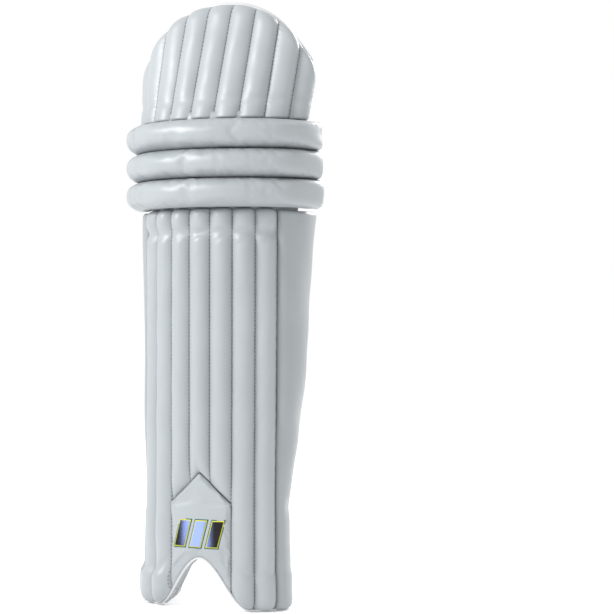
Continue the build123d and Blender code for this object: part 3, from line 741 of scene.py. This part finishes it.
def shin_roll(number):
    """One stuffed channel with its cane: a bulb above the crease at the top, and a rounded bottom end."""
    left = (number - 4.5) * ROLL
    short = number in (3, 4, 5)
    rng = np.random.default_rng(40 + number)
    fold_side, phase = rng.uniform(0.25, 0.75), rng.uniform(0, 6)

    def bottom(length):
        if short:
            return chevron_height(shin(length, 0.13 + 0 * length, 0.0)[..., 0]) + 0.0006
        return bottom_edge(length)

    def outer(share, from_low, from_high, z, length):
        depth = VALLEY * (1 - crown(share))
        depth += 0.0036 * np.exp(-((z - CREASE) / 0.0050) ** 2) * crown(share)
        depth -= 0.0012 * np.exp(-((z - CREASE - 0.013) / 0.0080) ** 2) * crown(share)
        slope = z - (CREASE - 0.006) - 0.6 * (share - fold_side) * ROLL
        depth += 0.0011 * np.exp(-(slope / 0.0024) ** 2) * ease((share - 0.1) / 0.3) * crown(share)
        depth += 0.007 * (1 - rounded_end(from_high, 0.008))
        if short:
            depth += 0.0092 * (1 - rounded_end(from_low, 0.030)) * (0.35 + 0.65 * crown(share))
        else:
            depth += 0.0075 * (1 - rounded_end(from_low, 0.013))
            depth += 0.0016 * np.exp(-((from_low - 0.038) / 0.0040) ** 2) * crown(share)
            depth -= lobe_bulge(z, number - 4)
        points = shin(length, z, 0 * z)
        depth += 0.0006 * wander(points, 0.045, 10 + number) * crown(share)
        return depth + gathers(share, z, points, ROLL, 0.0062, phase, 90 + number)

    def back(share, from_low, from_high, z, length):
        return ROLL_BACK - 0.002 * (1 - rounded_end(from_low, 0.008))

    piece = padded_strip(f"shin_roll_{number}_cover", shin, (left - 0.0003, left + ROLL + 0.0003),
                         (bottom, SHIN_TOP - 0.0005), outer, back, SHIN_VINYL, (16, 120))
    dress(piece, "shin", [f"shin_roll_{number}"])


for roll_number in range(1, 8):
    shin_roll(roll_number)


# ---- instep panel ----------------------------------------------------------------------------------------
def instep_panel():
    """The flat panel with a chevron top edge, sewn down all round."""
    half = 1.5 * ROLL

    def top(length):
        return chevron_height(shin(length, 0.13 + 0 * length, 0.0)[..., 0]) - 0.0002

    def outer(share, from_low, from_high, z, length):
        rim = np.minimum(np.minimum(to_side(share) * 2 * half, from_high), from_low + 0.002)
        depth = 0.0042 + 0.0035 * (1 - rounded_end(rim, 0.006)) + 0.0028 * (1 - rounded_end(from_low, 0.012))
        return depth + 0.0005 * wander(shin(length, z, 0 * z), 0.05, 3)

    piece = padded_strip("instep_panel_cover", shin, (-half + 0.0002, half - 0.0002), (bottom_edge, top), outer,
                         flat(ROLL_BACK), PAD_VINYL, (36, 60), 0.0012)
    dress(piece, "shin", ["instep_panel"])


instep_panel()


def emblem_bar(number, left):
    """One slanted bar of the instep's emblem, in layers that get smaller towards the top."""
    low, high, width, lean = 0.0680, 0.1000, 0.0170, 0.28
    layers = ((0.0, 0.0030, EMBLEM_RIM), (0.0011, 0.0026, EMBLEM_EDGE), (0.0021, 0.0022, EMBLEM))
    for layer, (inset, depth, material) in enumerate(layers, 1):
        starts = (left + inset, left + width - inset)
        edges = [lambda z, start=start: start + lean * (z - low) for start in starts]
        piece = padded_strip(f"emblem_bar_{number}_layer_{layer}", shin, edges, (low + inset, high - inset),
                             flat(depth), flat(0.0046), material, (10, 14))
        dress(piece, "shin", ["instep_emblem"])


for bar_number, bar_left in enumerate((-0.0330, -0.0125, 0.0080), 1):
    emblem_bar(bar_number, bar_left)


# ---- wings and foot wings --------------------------------------------------------------------------------
def wing_blend(piece, side):
    """Bakes a wing piece's transform into its mesh."""
    low = Vector(shin(np.array(side * SHIN_EDGE), np.array(0.135), np.array(0.005)))
    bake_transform(piece)


def wing(side):
    """A side wing and the foot part's wing below it, sewn in one."""
    name = "outer" if side > 0 else "inner"

    def near(z):
        return side * (SHIN_EDGE + 0.0002) + 0 * z

    def far(z):
        foot_length = rear_length(np.full_like(z, 0.05))
        length = np.where(z < 0.1, foot_length, rear_length(np.maximum(z, 0.1)))
        length = length - 0.020 * (1 - rounded_end(z - 0.0010, 0.026))
        return side * (length - 0.005 * (1 - rounded_end(WING_TOP - z, 0.010)))

    def outer(share, from_low, from_high, z, length):
        inward = np.abs(length) - SHIN_EDGE
        to_rear = np.abs(far(z)) - np.abs(length)
        away = ease(inward / 0.02)
        depth = 0.0062 * (1 - rounded_end(inward, 0.009)) + 0.0040 * (1 - rounded_end(to_rear, 0.012))
        depth += 0.0045 * (1 - rounded_end(from_low, 0.012)) + 0.002 * (1 - rounded_end(from_high, 0.004))
        depth += 0.0024 * np.exp(-((z - 0.112) / 0.012) ** 2) * away
        depth -= lobe_bulge(z, side) * (1.0 + 0.4 * away)
        points = shin(length, z, 0 * z)
        depth += 0.0014 * wander(points, 0.16, 9 + side) * away
        return depth + 0.0007 * wander(points, 0.07, 5 + side)

    def back(share, from_low, from_high, z, length):
        thickness = WING + 0.003 * ease((0.098 - z) / 0.01)
        return thickness - 0.0035 * (1 - rounded_end(np.abs(far(z)) - np.abs(length), 0.010))

    edges = (near, far) if side > 0 else (far, near)
    piece = padded_strip(f"{name}_wing_cover", shin, edges, (0.0015, WING_TOP), outer, back, WING_VINYL_PAINTED_SHADE,
                         (22, 110))
    wing_blend(piece, side)
    dress(piece, None, [f"{name}_wing", f"{name}_foot_wing"])


wing(1)
wing(-1)


# ---- knee rolls ------------------------------------------------------------------------------------------
def knee_roll(number):
    """A plump horizontal roll with a round left end. Towards the right its filling thins and it flattens."""
    half = KNEE_PITCH / 2 - 0.0002
    middle = SHIN_TOP + KNEE_PITCH * (number - 0.5)
    a, b = KNEE_LINE
    turn = np.linspace(0, -2 * np.pi, 32, endpoint=False)
    place = np.linspace(-1, 1, 121)
    place = 0.75 * place + 0.25 * np.sin(place * np.pi / 2)
    rng = np.random.default_rng(60 + number)
    phase = rng.uniform(0, 6.28, 4)
    loops, uv = [], []
    for share in place:
        bend = share * math.radians(91.5)
        left = float(rounded_end((share + 1) * 0.155, 0.021))
        right = float(rounded_end((1 - share) * 0.155, 0.007))
        thin = float(ease((share - 0.45) / 0.5))
        radial = 0.0180 * (0.30 + 0.70 * left) * (0.80 + 0.20 * right) * (1 - 0.20 * thin)
        height = half * (0.35 + 0.65 * left)
        square = 2.25 + 2.6 * thin
        radius = (np.abs(np.cos(turn)) ** square + np.abs(np.sin(turn)) ** square) ** (-1 / square)
        out, up = radial * radius * np.cos(turn), height * radius * np.sin(turn)
        fold = 0.0009 * math.sin(bend * 4.3 + phase[0]) + 0.0006 * math.sin(bend * 9.7 + phase[1])
        wrinkle = 0.0007 * np.sin(up / 0.006 + phase[2] + bend * 6) * thin
        out = out + (fold + wrinkle) * np.clip(np.cos(turn), 0, 1)
        across, along = (a + out) * math.sin(bend), KNEE_Y - (b + out) * math.cos(bend)
        loops.append(np.stack([across, along, middle + up], -1))
        uv.append(np.stack([np.full(len(turn), bend * a), up + middle], -1))
    piece = sleeve(f"knee_roll_{number}_cover", np.array(loops), PAD_VINYL, np.array(uv))
    held = np.tile(np.cos(turn) < 0.25, len(place))
    stuff(piece, np.append(held, [True, True]), 0.0014)
    body = {1: "knee_lower", 2: "knee_middle", 3: "knee_upper"}[number]
    dress(piece, body, [f"knee_roll_{number}"])


for roll_number in (1, 2, 3):
    knee_roll(roll_number)


def fold_strip(name, z, depth):
    """The vinyl that joins two sections of the knee behind their seam. The real strip opens as the knee bends;
    this one stays fixed.
    """
    count = 60
    angles = np.linspace(-1.45, 1.45, count)
    edges = ((-0.009, 0.0), (-0.003, -0.0015), (0.003, -0.0015), (0.009, 0.0))
    grid = np.array([ring_point(*KNEE_LINE, KNEE_Y, angles, z + lift, depth + out) for lift, out in edges])
    faces = [(base, base + 1, base + count + 1, base + count)
             for row in range(3) for base in range(row * count, row * count + count - 1)]
    piece = add_mesh(name, grid.reshape(-1, 3), faces, PAD_VINYL)
    solid = piece.modifiers.new("thickness", "SOLIDIFY")
    solid.thickness = 0.0008
    bpy.context.view_layer.objects.active = piece
    bpy.ops.object.modifier_apply(modifier=solid.name)
    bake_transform(piece)


fold_strip("shin_to_knee_fold", SHIN_TOP, 0.013)
fold_strip("lower_knee_fold", SHIN_TOP + KNEE_PITCH, 0.010)
fold_strip("upper_knee_fold", SHIN_TOP + 2 * KNEE_PITCH, 0.010)
fold_strip("knee_to_thigh_fold", KNEE_TOP, 0.011)


# ---- thigh flap ------------------------------------------------------------------------------------------
FLAP_CREASE = THIGH_BOTTOM + 0.022


def flap_x(length):
    return thigh(length, THIGH_BOTTOM + 0.06 + 0 * length, 0.008)[..., 0]


def thigh_roll(number):
    """One stuffed channel of the flap, with a soft crease above its sewn bottom."""
    left = (number - 5.5) * THIGH_ROLL
    phase = np.random.default_rng(80 + number).uniform(0, 6)

    def top(length):
        return flap_height(flap_x(length), 0.0035)

    def outer(share, from_low, from_high, z, length):
        depth = (0.0045 + 0.0003 * number) * (1 - crown(share))
        depth += 0.0012 * np.exp(-((z - FLAP_CREASE) / 0.005) ** 2) * crown(share)
        depth += 0.008 * (1 - rounded_end(from_high, 0.014)) + 0.002 * (1 - rounded_end(from_low, 0.003))
        points = thigh(length, z, 0 * z)
        depth += gathers(share, z, points, THIGH_ROLL, 0.0058, phase, 70 + number)
        return depth + 0.0006 * wander(points, 0.045, 30 + number) * crown(share)

    piece = padded_strip(f"thigh_roll_{number}_cover", thigh, (left - 0.0003, left + THIGH_ROLL + 0.0003),
                         (THIGH_BOTTOM + 0.0003, top), outer, flat(0.0148), THIGH_VINYL, (16, 60))
    dress(piece, "thigh", [f"thigh_roll_{number}"])


for roll_number in range(1, 10):
    thigh_roll(roll_number)


def flap_lining():
    """The smooth printed pad on the flap's inner side."""
    edge = THIGH_EDGE - 0.0005

    def top(length):
        return flap_height(flap_x(length), 0.004)

    def outer(share, from_low, from_high, z, length):
        rim = rounded_end(np.minimum(to_side(share) * 2 * edge, from_high), 0.012)
        depth = 0.0180 + 0.0085 * rim * (0.4 + 0.6 * rounded_end(from_low, 0.008))
        return depth + 0.0006 * wander(thigh(length, z, 0 * z), 0.06, 21)

    piece = padded_strip("thigh_lining_pad", thigh, (edge, -edge), (THIGH_BOTTOM + 0.001, top), outer,
                         flat(0.0176), FLAP_PRINT, (72, 60), 0.0016)
    dress(piece, "thigh", ["thigh_inner_pad"])


flap_lining()


def piping(name, points, radius, sides=8):
    """A thin sewn edge: a round tube along a row of points."""
    curve = bpy.data.curves.new(name, "CURVE")
    curve.dimensions = "3D"
    spline = curve.splines.new("POLY")
    spline.points.add(len(points) - 1)
    spline.points.foreach_set("co", np.hstack([points, np.ones((len(points), 1))]).ravel())
    curve.bevel_depth = radius
    curve.bevel_resolution = sides // 4
    curve.use_fill_caps = True
    piece = link_new(name, curve)
    bpy.ops.object.select_all(action="DESELECT")
    piece.select_set(True)
    bpy.context.view_layer.objects.active = piece
    bpy.ops.object.convert(target="MESH")
    piece = bpy.context.view_layer.objects.active
    piece.data.materials.clear()
    piece.data.materials.append(PIPING)
    piece.data.polygons.foreach_set("use_smooth", [True] * len(piece.data.polygons))
    return piece


def flap_binding():
    """The flap's edge, bound in white vinyl from knee to knee."""
    lengths = np.linspace(-THIGH_EDGE, THIGH_EDGE, 121)
    tops = flap_height(flap_x(lengths), 0.0028)
    rises = np.linspace(THIGH_BOTTOM + 0.002, tops[0], 22)[:-1]
    left, right = [thigh(side * (THIGH_EDGE + 0.0006), rises, 0.0158) for side in (-1, 1)]
    path = np.vstack([left, thigh(lengths, tops, 0.0158), right[::-1]])
    dress(piping("flap_binding", path, 0.0030, 12), "thigh", ["thigh_binding"])


flap_binding()


def bottom_binding():
    """Thin white piping along the pad's bottom edge, over both foot lobes and the arch."""
    rear = float(rear_length(0.05)) - 0.021
    lengths = np.linspace(-rear, rear, 241)
    path = shin(lengths, np.maximum(bottom_edge(lengths) - 0.0008, 0.0018), 0.0078)
    dress(piping("bottom_binding", path, 0.0013), "shin")


bottom_binding()


# ---- inside of the shin ----------------------------------------------------------------------------------
def inner_lining():
    """The smooth lining behind the rolls, with sewn channels over the foot."""
    edge = SHIN_EDGE - 0.0008

    def low(length):
        return bottom_edge(length) + 0.004

    def outer(share, from_low, from_high, z, length):
        seams = np.minimum(np.abs(np.abs(length) - 0.043), np.abs(np.abs(length) - 0.068))
        foot = 1 - ease((z - 0.08) / 0.02)
        channel = np.where(np.abs(length) < 0.043, 0.0030, 0.0056)
        return LINING + 0.0012 + channel * foot * rounded_end(seams, 0.011) * rounded_end(from_low, 0.008)

    piece = padded_strip("shin_lining_cover", shin, (edge, -edge), (low, BOLSTER_TOP), outer,
                         flat(LINING), LINING_VINYL, (90, 90))
    dress(piece, "shin", ["shin_lining"])


inner_lining()


def bolster(side):
    """A soft upright bolster: mesh above, and ribbed cloth below a slanted seam."""
    name = "right" if side > 0 else "left"
    inner_x, outer_angle = 0.0205, math.radians(65.5)

    def inner_edge(z):
        a, b, _ = shin_radii(z)
        angle = np.arcsin(inner_x / (a - PAD_DEPTH))
        return side * angle * (a + b) / 2 * 1.12

    def outer_edge(z):
        a, b, _ = shin_radii(z)
        return side * walk(np.full_like(a, outer_angle), a, b)

    def outer(share, from_low, from_high, z, length):
        full = 0.013 + (z - BOLSTER_BOTTOM) / (BOLSTER_TOP - BOLSTER_BOTTOM) * 0.009
        bulge = (1 - np.abs(2 * share - 1) ** 3.2) ** 0.5
        bulge *= (0.25 + 0.75 * rounded_end(from_high, 0.018)) * (0.25 + 0.75 * rounded_end(from_low, 0.025))
        seam = np.exp(-((z + (np.abs(length) - 0.022) * 0.36 - 0.219) / 0.0022) ** 2)
        waves = 0.0008 * wander(shin(length, z, 0 * z), 0.06, 15 + side)
        return PAD_DEPTH + full * bulge - 0.0014 * seam + waves

    lengths = (outer_edge, inner_edge) if side > 0 else (inner_edge, outer_edge)
    piece = padded_strip(f"{name}_bolster_pad", shin, lengths, (BOLSTER_BOTTOM, BOLSTER_TOP), outer,
                         flat(PAD_DEPTH), BOLSTER_CLOTH, (26, 100), 0.0016)
    dress(piece, "shin", [f"{name}_bolster_cover", f"{name}_bolster_core"])


bolster(1)
bolster(-1)


def centre_pad():
    """The printed panel between the bolsters."""
    half = 0.0185

    def outer(share, from_low, from_high, z, length):
        rim = rounded_end(to_side(share) * 2 * half, 0.008)
        return PAD_DEPTH + 0.0078 * rim * rounded_end(from_low, 0.012) * rounded_end(from_high, 0.010)

    piece = padded_strip("centre_panel_pad", shin, (half, -half), (BOLSTER_BOTTOM - 0.006, BOLSTER_TOP),
                         outer, flat(PAD_DEPTH), CENTRE_PRINT, (24, 90), 0.0012)
    dress(piece, "shin", ["centre_pad"])


centre_pad()


def side_lining(side):
    """The ribbed lining on the inside of a wing."""
    name = "outer_side_lining" if side > 0 else "inner_wing_lining"
    depth, top = WING + 0.0006, WING_TOP - 0.003

    def near(z):
        return side * (SHIN_EDGE + 0.0032) + 0 * z

    def far(z):
        return side * (rear_length(z) - 0.0015 - 0.008 * (1 - rounded_end(top - z, 0.018)))

    def outer(share, from_low, from_high, z, length):
        rim = rounded_end(to_side(share) * np.abs(far(z) - near(z)), 0.004)
        return depth + 0.0004 + 0.0009 * rim + 0.0002 * wander(shin(length, z, 0 * z), 0.04, 8)

    lengths = (far, near) if side > 0 else (near, far)
    piece = padded_strip(f"{name}_cloth", shin, lengths, (0.101, top), outer, flat(depth), RIBBED, (20, 90))
    if side < 0:
        wing_blend(piece, side)
    dress(piece, "shin" if side > 0 else None, [name])


side_lining(1)
side_lining(-1)


# ---- inside of the knee ----------------------------------------------------------------------------------
KNEE_LOW = SHIN_TOP + 0.0055
KNEE_HIGH = KNEE_TOP - 0.004
KNEE_MIDDLE = (SHIN_TOP + 0.0005 + KNEE_TOP) / 2
BADGE_MIDDLE = KNEE_MIDDLE + 0.007
SPLIT = math.radians(24)
PAD_END = math.radians(100)


def knee_pad(place, start, end, thick):
    """A padded panel inside the knee, between two angles."""
    thin = 0.0025

    def outer(share, from_low, from_high, z, angle):
        side = to_side(share) * abs(end - start) * KNEE_LINING[0]
        rim = rounded_end(side, 0.010) * rounded_end(from_low, 0.012) * rounded_end(from_high, 0.012)
        return thin + (thick - thin) * (0.15 + 0.85 * rim) + 0.0006 * wander(knee(angle, z, 0 * z), 0.04, 11)

    piece = padded_strip(f"knee_{place}_pad", knee, (start, end), (KNEE_LOW, KNEE_HIGH), outer, flat(thin),
                         LINING_VINYL, (24, 30), 0.0006)
    dress(piece, "knee_middle", [f"knee_pad_{place}"])


knee_pad("right", PAD_END, SPLIT, 0.0184)
knee_pad("left", -SPLIT, -PAD_END, 0.0184)
knee_pad("centre", SPLIT - 0.01, -SPLIT + 0.01, 0.0182)


def knee_side(side):
    """The short padded panel beside the knee, behind the rolls' ends, with a softly ruffled rear edge."""
    def to_rear(share):
        return 1 - share if side > 0 else share

    def outer(share, from_low, from_high, z, angle):
        rim = rounded_end(from_low, 0.008) * rounded_end(from_high, 0.008)
        ruffle = 0.0007 * np.sin(z / 0.0052 + 4 * share) * (1 - ease(to_rear(share) / 0.5))
        return -0.0125 + 0.0055 * (1 - rounded_end(to_rear(share), 0.75)) + 0.003 * (1 - rim) + ruffle

    def back(share, from_low, from_high, z, angle):
        rim = rounded_end(from_low, 0.010) * rounded_end(from_high, 0.010)
        return 0.0035 + 0.0110 * rim * rounded_end(to_rear(share), 0.85)

    start, end = KNEE_SIDE
    name = "right" if side > 0 else "left"
    span = (start, end) if side > 0 else (-end, -start)
    piece = padded_strip(f"knee_{name}_side_pad", knee, span, (KNEE_LOW, KNEE_HIGH), outer, back,
                         LINING_VINYL, (14, 40), 0.0008)
    dress(piece, "knee_middle", [f"knee_side_{name}"])


knee_side(1)
knee_side(-1)


def knee_locator():
    """The six-sided mesh cushion that seats the kneecap."""
    low, high = SHIN_TOP + 0.0066, KNEE_TOP - 0.0061
    depth = 0.0191

    def half_width(z):
        return np.interp(z, (low, KNEE_MIDDLE, high), (0.030, 0.054, 0.033))

    def edge(sign):
        return lambda z: sign * np.arcsin(half_width(z) / (KNEE_LINING[0] - depth - 0.005)) * 0.985

    def outer(share, from_low, from_high, z, angle):
        side = to_side(share) * 2 * half_width(z)
        rim = rounded_end(np.minimum(side, np.minimum(from_low, from_high)), 0.012)
        return depth + 0.0003 + 0.0094 * (0.12 + 0.88 * rim)

    piece = padded_strip("knee_locator_cushion", knee, (edge(1), edge(-1)), (low, high), outer, flat(depth),
                         LOCATOR_MESH, (44, 40), 0.0008)
    for corner in piece.data.uv_layers["cloth"].data:  # angles become lengths
        corner.uv[0] *= KNEE_LINING[0] * 0.62
    dress(piece, "knee_locator", ["knee_locator"])


knee_locator()


def badge_plate(name, inset, depth, thickness, material):
    """A flat six-sided plate on the locator, drawn in by inset from the badge's edge."""
    half_height = 0.0235

    def edge(sign):
        def at(z):
            half = np.interp(np.abs(z - BADGE_MIDDLE), (0, half_height), (0.0215, 0.0115)) - inset * 1.09
            return sign * np.arcsin(half / (KNEE_LINING[0] - depth))
        return at

    heights = (BADGE_MIDDLE - half_height + inset, BADGE_MIDDLE + half_height - inset)
    piece = padded_strip(name, knee, (edge(1), edge(-1)), heights, flat(depth + thickness), flat(depth),
                         material, (14, 24))
    dress(piece, "knee_locator", ["locator_badge"])


def badge_mark(name, points):
    """A thin printed mark on the badge, a closed outline of (x, height above the badge's middle)."""
    a, b = KNEE_LINING
    depth, count = 0.0314, len(points)
    rows = [[ring_point(a, b, KNEE_Y, np.arcsin(x / (a - depth)), BADGE_MIDDLE + z, depth + lift)
             for x, z in points] for lift in (0.0, 0.0002)]
    faces = [tuple(range(count)), tuple(range(2 * count - 1, count - 1, -1))]
    faces += [(k, (k + 1) % count, count + (k + 1) % count, count + k) for k in range(count)]
    piece = outward(add_mesh(name, np.array(rows).reshape(-1, 3), faces, BADGE_INK, smooth=False))
    dress(piece, "knee_locator", ["locator_badge"])


badge_plate("locator_badge_plate", 0.0, 0.0290, 0.0020, BADGE_INK)
badge_plate("locator_badge_face", 0.0028, 0.0309, 0.0004, BADGE_FACE)
TICK = ((0.0072, 0.0190), (0.0080, 0.0185), (0.0056, 0.0140), (0.0048, 0.0144))
ARROW = ((-0.0016, -0.0050), (0.0016, -0.0050), (0.0016, 0.0025), (0.0052, 0.0025), (0.0, 0.0100),
         (-0.0052, 0.0025), (-0.0016, 0.0025))
for up, row in ((1, "top"), (-1, "low")):
    for side, hand in ((1, "right"), (-1, "left")):
        badge_mark(f"badge_tick_{row}_{hand}", [(side * x, up * z) for x, z in TICK])
badge_mark("badge_arrow_up", [(x, z + 0.0010) for x, z in ARROW])
badge_mark("badge_arrow_down", [(x, -z - 0.0012) for x, z in ARROW])


# ---- straps ----------------------------------------------------------------------------------------------
THICKNESS = 0.0016
FOLD_RADIUS = 0.0025                     # of the webbing round the calf ring's bars
JOINTS = {joint["name"]: Vector(joint["pos_m"]) for joint in frame["joints"] if "pos_m" in joint}


def resample(points, step=0.0022):
    """Evenly spaced points along a path seen from above, with its corners eased."""
    points = np.asarray(points, float)[:, :2]
    steps = np.linalg.norm(np.diff(points, axis=0), axis=1)
    along = np.concatenate([[0], np.cumsum(steps)])
    count = max(int(along[-1] / step), 4)
    where = np.linspace(0, along[-1], count + 1)
    path = np.stack([np.interp(where, along, points[:, k]) for k in (0, 1)], -1)
    for _ in range(2):
        path[1:-1] = (path[:-2] + 2 * path[1:-1] + path[2:]) / 4
    return path


def band(name, path, strap):
    """Flat webbing that stands on edge along a path, with its length in the UV map. Also gives its flat size."""
    z, width = STRAPS[strap]
    path = resample(path)
    steps = np.linalg.norm(np.diff(path, axis=0), axis=1)
    tangent = np.gradient(path, axis=0)
    tangent /= np.linalg.norm(tangent, axis=1)[:, None]
    normal = np.stack([-tangent[:, 1], tangent[:, 0]], -1)
    heights = np.array([-1.0, -0.6, 0.0, 0.6, 1.0, 1.0, 0.6, 0.0, -0.6, -1.0])
    out = np.repeat([-1, 1], 5) * np.where(np.abs(heights) == 1.0, 0.55, 1.0) * THICKNESS / 2
    place = path[:, None] + normal[:, None] * out[:, None]
    up = np.broadcast_to(heights * width / 2, place.shape[:2])
    along = np.broadcast_to(np.concatenate([[0], np.cumsum(steps)])[:, None], up.shape)
    loops = np.concatenate([place, z + up[..., None]], -1)
    piece = sleeve(name, loops, WEBBING[strap], np.stack([along, up], -1))
    return piece, (width, float(steps.sum()))


def side_ring(name):
    """The ring that a strap passes, where it is widest."""
    if name == "knee":
        return KNEE_LINING[0] + 0.0125, KNEE_LINING[1] + 0.0125, KNEE_Y
    z, width = STRAPS[name]
    return max(tuple(float(v) for v in shin_radii(np.array(h))) for h in (z - width / 2, z + width / 2))


def outside_arc(name):
    """Points along the left side's outside, from its rear edge forward, where a tab's webbing lies."""
    a, b, centre = side_ring(name)
    z, width = STRAPS[name]
    rear_y = AXIS_Y + float(np.interp(z + width / 2, REAR_HEIGHTS, REAR_Y))
    rear = KNEE_SIDE[1] if name == "knee" else math.acos((centre - rear_y) / b)
    rear -= math.radians(2)
    angles = -np.linspace(rear, rear - math.radians(TAB_SPAN[name] - 2), 14)
    return ring_point(a, b, centre, angles, 0 * angles, -0.0015 - THICKNESS / 2)[:, :2]


def strap_web(name):
    """A strap's sewn end and its band across. The calf's folds back round the ring's bar."""
    right, left = JOINTS[f"{name}_strap_swing"], JOINTS[f"{name}_tab_peel"]
    along = (left - right).normalized()
    low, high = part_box(f"{name}_strap_anchor")
    sewn = Vector((high.x - THICKNESS / 2, low.y + 0.0004, 0))
    path = [sewn, right, left - along * 0.022]
    if name == "calf":
        tip = JOINTS["calf_ring_swivel"]
        aside = Vector((along.y, -along.x, 0))
        fold = [tip + (along * math.cos(turn) + aside * math.sin(turn)) * FOLD_RADIUS
                for turn in np.radians(np.linspace(70, -70, 9))]
        path = [sewn, right, tip - along * 0.018 + Vector((0, 0.0012, 0)), *fold,
                tip - along * 0.018 + Vector((0, -0.0012, 0)), tip - along * 0.024 + Vector((0, -0.0014, 0))]
    piece, size = band(f"{name}_strap_web", path, name)
    dress(piece, None, [f"{name}_strap", f"{name}_strap_anchor"])
    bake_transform(piece)


def strap_tab(name):
    """The hook tab that closes round the left side. The calf's starts round the ring's other bar."""
    right, left = JOINTS[f"{name}_strap_swing"], JOINTS[f"{name}_tab_peel"]
    along = (left - right).normalized()
    arc = outside_arc(name)
    if name == "calf":
        fold = [left + Vector((math.cos(turn), math.sin(turn), 0)) * FOLD_RADIUS
                for turn in np.radians(np.linspace(-20, 200, 9))]
        arc[0] += (0.0016, -0.004)
        path = [Vector((*arc[0], 0)), *fold, *[Vector((*point, 0)) for point in arc[1:]]]
    else:
        path = [left - along * 0.026 + Vector((0, 0.0002, 0)), left, *[Vector((*point, 0)) for point in arc]]
    piece, size = band(f"{name}_tab_web", path, name)
    dress(piece, "calf_tab" if name == "calf" else None, [f"{name}_tab"])
    if name != "calf":
        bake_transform(piece)


for strap_name in STRAPS:
    strap_web(strap_name)
    strap_tab(strap_name)


def loop_patch(name):
    """The loop tape sewn on the outside of the left side."""
    low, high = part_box(f"{name}_loop_patch")
    turns = (math.radians(2), math.radians(TAB_SPAN[name] + 1))
    if name == "knee":
        surface, depth, under = knee, -0.0125, -0.0126
        edges = [turn - KNEE_SIDE[1] for turn in turns]
    else:
        surface, depth, under = shin, -0.0002, 0.0006
        edges = [lambda z, turn=turn: -rear_length(z, turn) for turn in turns]

    def outer(share, from_low, from_high, z, length):
        return depth - 0.0009 * rounded_end(np.minimum(from_low, from_high), 0.001)

    piece = padded_strip(f"{name}_patch_tape", surface, edges, (low.z, high.z), outer, flat(under), TAPE,
                         (16, 20))
    if name != "knee":
        wing_blend(piece, -1)
    dress(piece, "knee_middle" if name == "knee" else None, [f"{name}_loop_patch"])


for strap_name in STRAPS:
    loop_patch(strap_name)


# ---- finishes of the nodes that stay ---------------------------------------------------------------------
FINISHES = {"shin_canes": CANE, "shin_backing": BOARD, "knee_backing": BOARD, "thigh_backing": BOARD,
            "calf_ring": PLASTIC, "ankle_slider": PLASTIC}
for node, finish in FINISHES.items():
    for holder in frame["nodes"][node].material_slots:
        holder.material = finish


# ---- stage, lights and camera ----------------------------------------------------------------------------
def stage():
    """A wide pale floor that glows a little, so that it stays white under the soft lights."""
    bpy.ops.object.select_all(action="DESELECT")
    bpy.ops.mesh.primitive_plane_add(size=80.0, location=(0, 0, 0))
    floor = bpy.context.object
    floor.name = "studio_floor"
    f = Finish("studio_white", 0.9)
    f.set("Base Color", f.mottle(3.0, colour(0.88, 0.88, 0.88), colour(0.9, 0.9, 0.9)))
    f.set("Emission Color", f.mottle(3.0, colour(0.9, 0.9, 0.9), colour(0.92, 0.92, 0.92)))
    f.set("Emission Strength", 0.16)
    floor.data.materials.append(f.material)


stage()


def area_light(name, place, target, size, power):
    light = bpy.data.lights.new(name, "AREA")
    light.shape = "RECTANGLE"
    light.size, light.size_y = size
    light.energy = power
    lamp = link_new(name, light)
    lamp.location = place
    lamp.rotation_euler = (Vector(target) - Vector(place)).to_track_quat("-Z", "Y").to_euler()


area_light("key", (-1.25, -1.5, 1.6), (0, 0, 0.36), (0.8, 1.0), 44)
area_light("back", (0.6, 1.9, 1.4), (0, 0, 0.36), (0.8, 1.0), 34)

world = bpy.data.worlds.new("studio")
bpy.context.scene.world = world
world.use_nodes = True
backdrop = world.node_tree.nodes["Background"]
backdrop.inputs["Color"].default_value = (1.0, 1.0, 1.0, 1.0)
backdrop.inputs["Strength"].default_value = 1.0
bpy.context.scene.view_settings.view_transform = "Standard"

camera = link_new("camera", bpy.data.cameras.new("camera"))
bpy.context.scene.camera = camera
camera.data.lens = 100.0
camera.data.sensor_width = 36.0
turn, distance, aside = math.radians(24), 1.927, 0.0895
target = Vector((aside * math.cos(turn), aside * math.sin(turn) + AXIS_Y, 0.3314))
camera.location = target + Vector((math.sin(turn), -math.cos(turn), 0)) * distance
camera.rotation_euler = (target - camera.location).to_track_quat("-Z", "Y").to_euler()
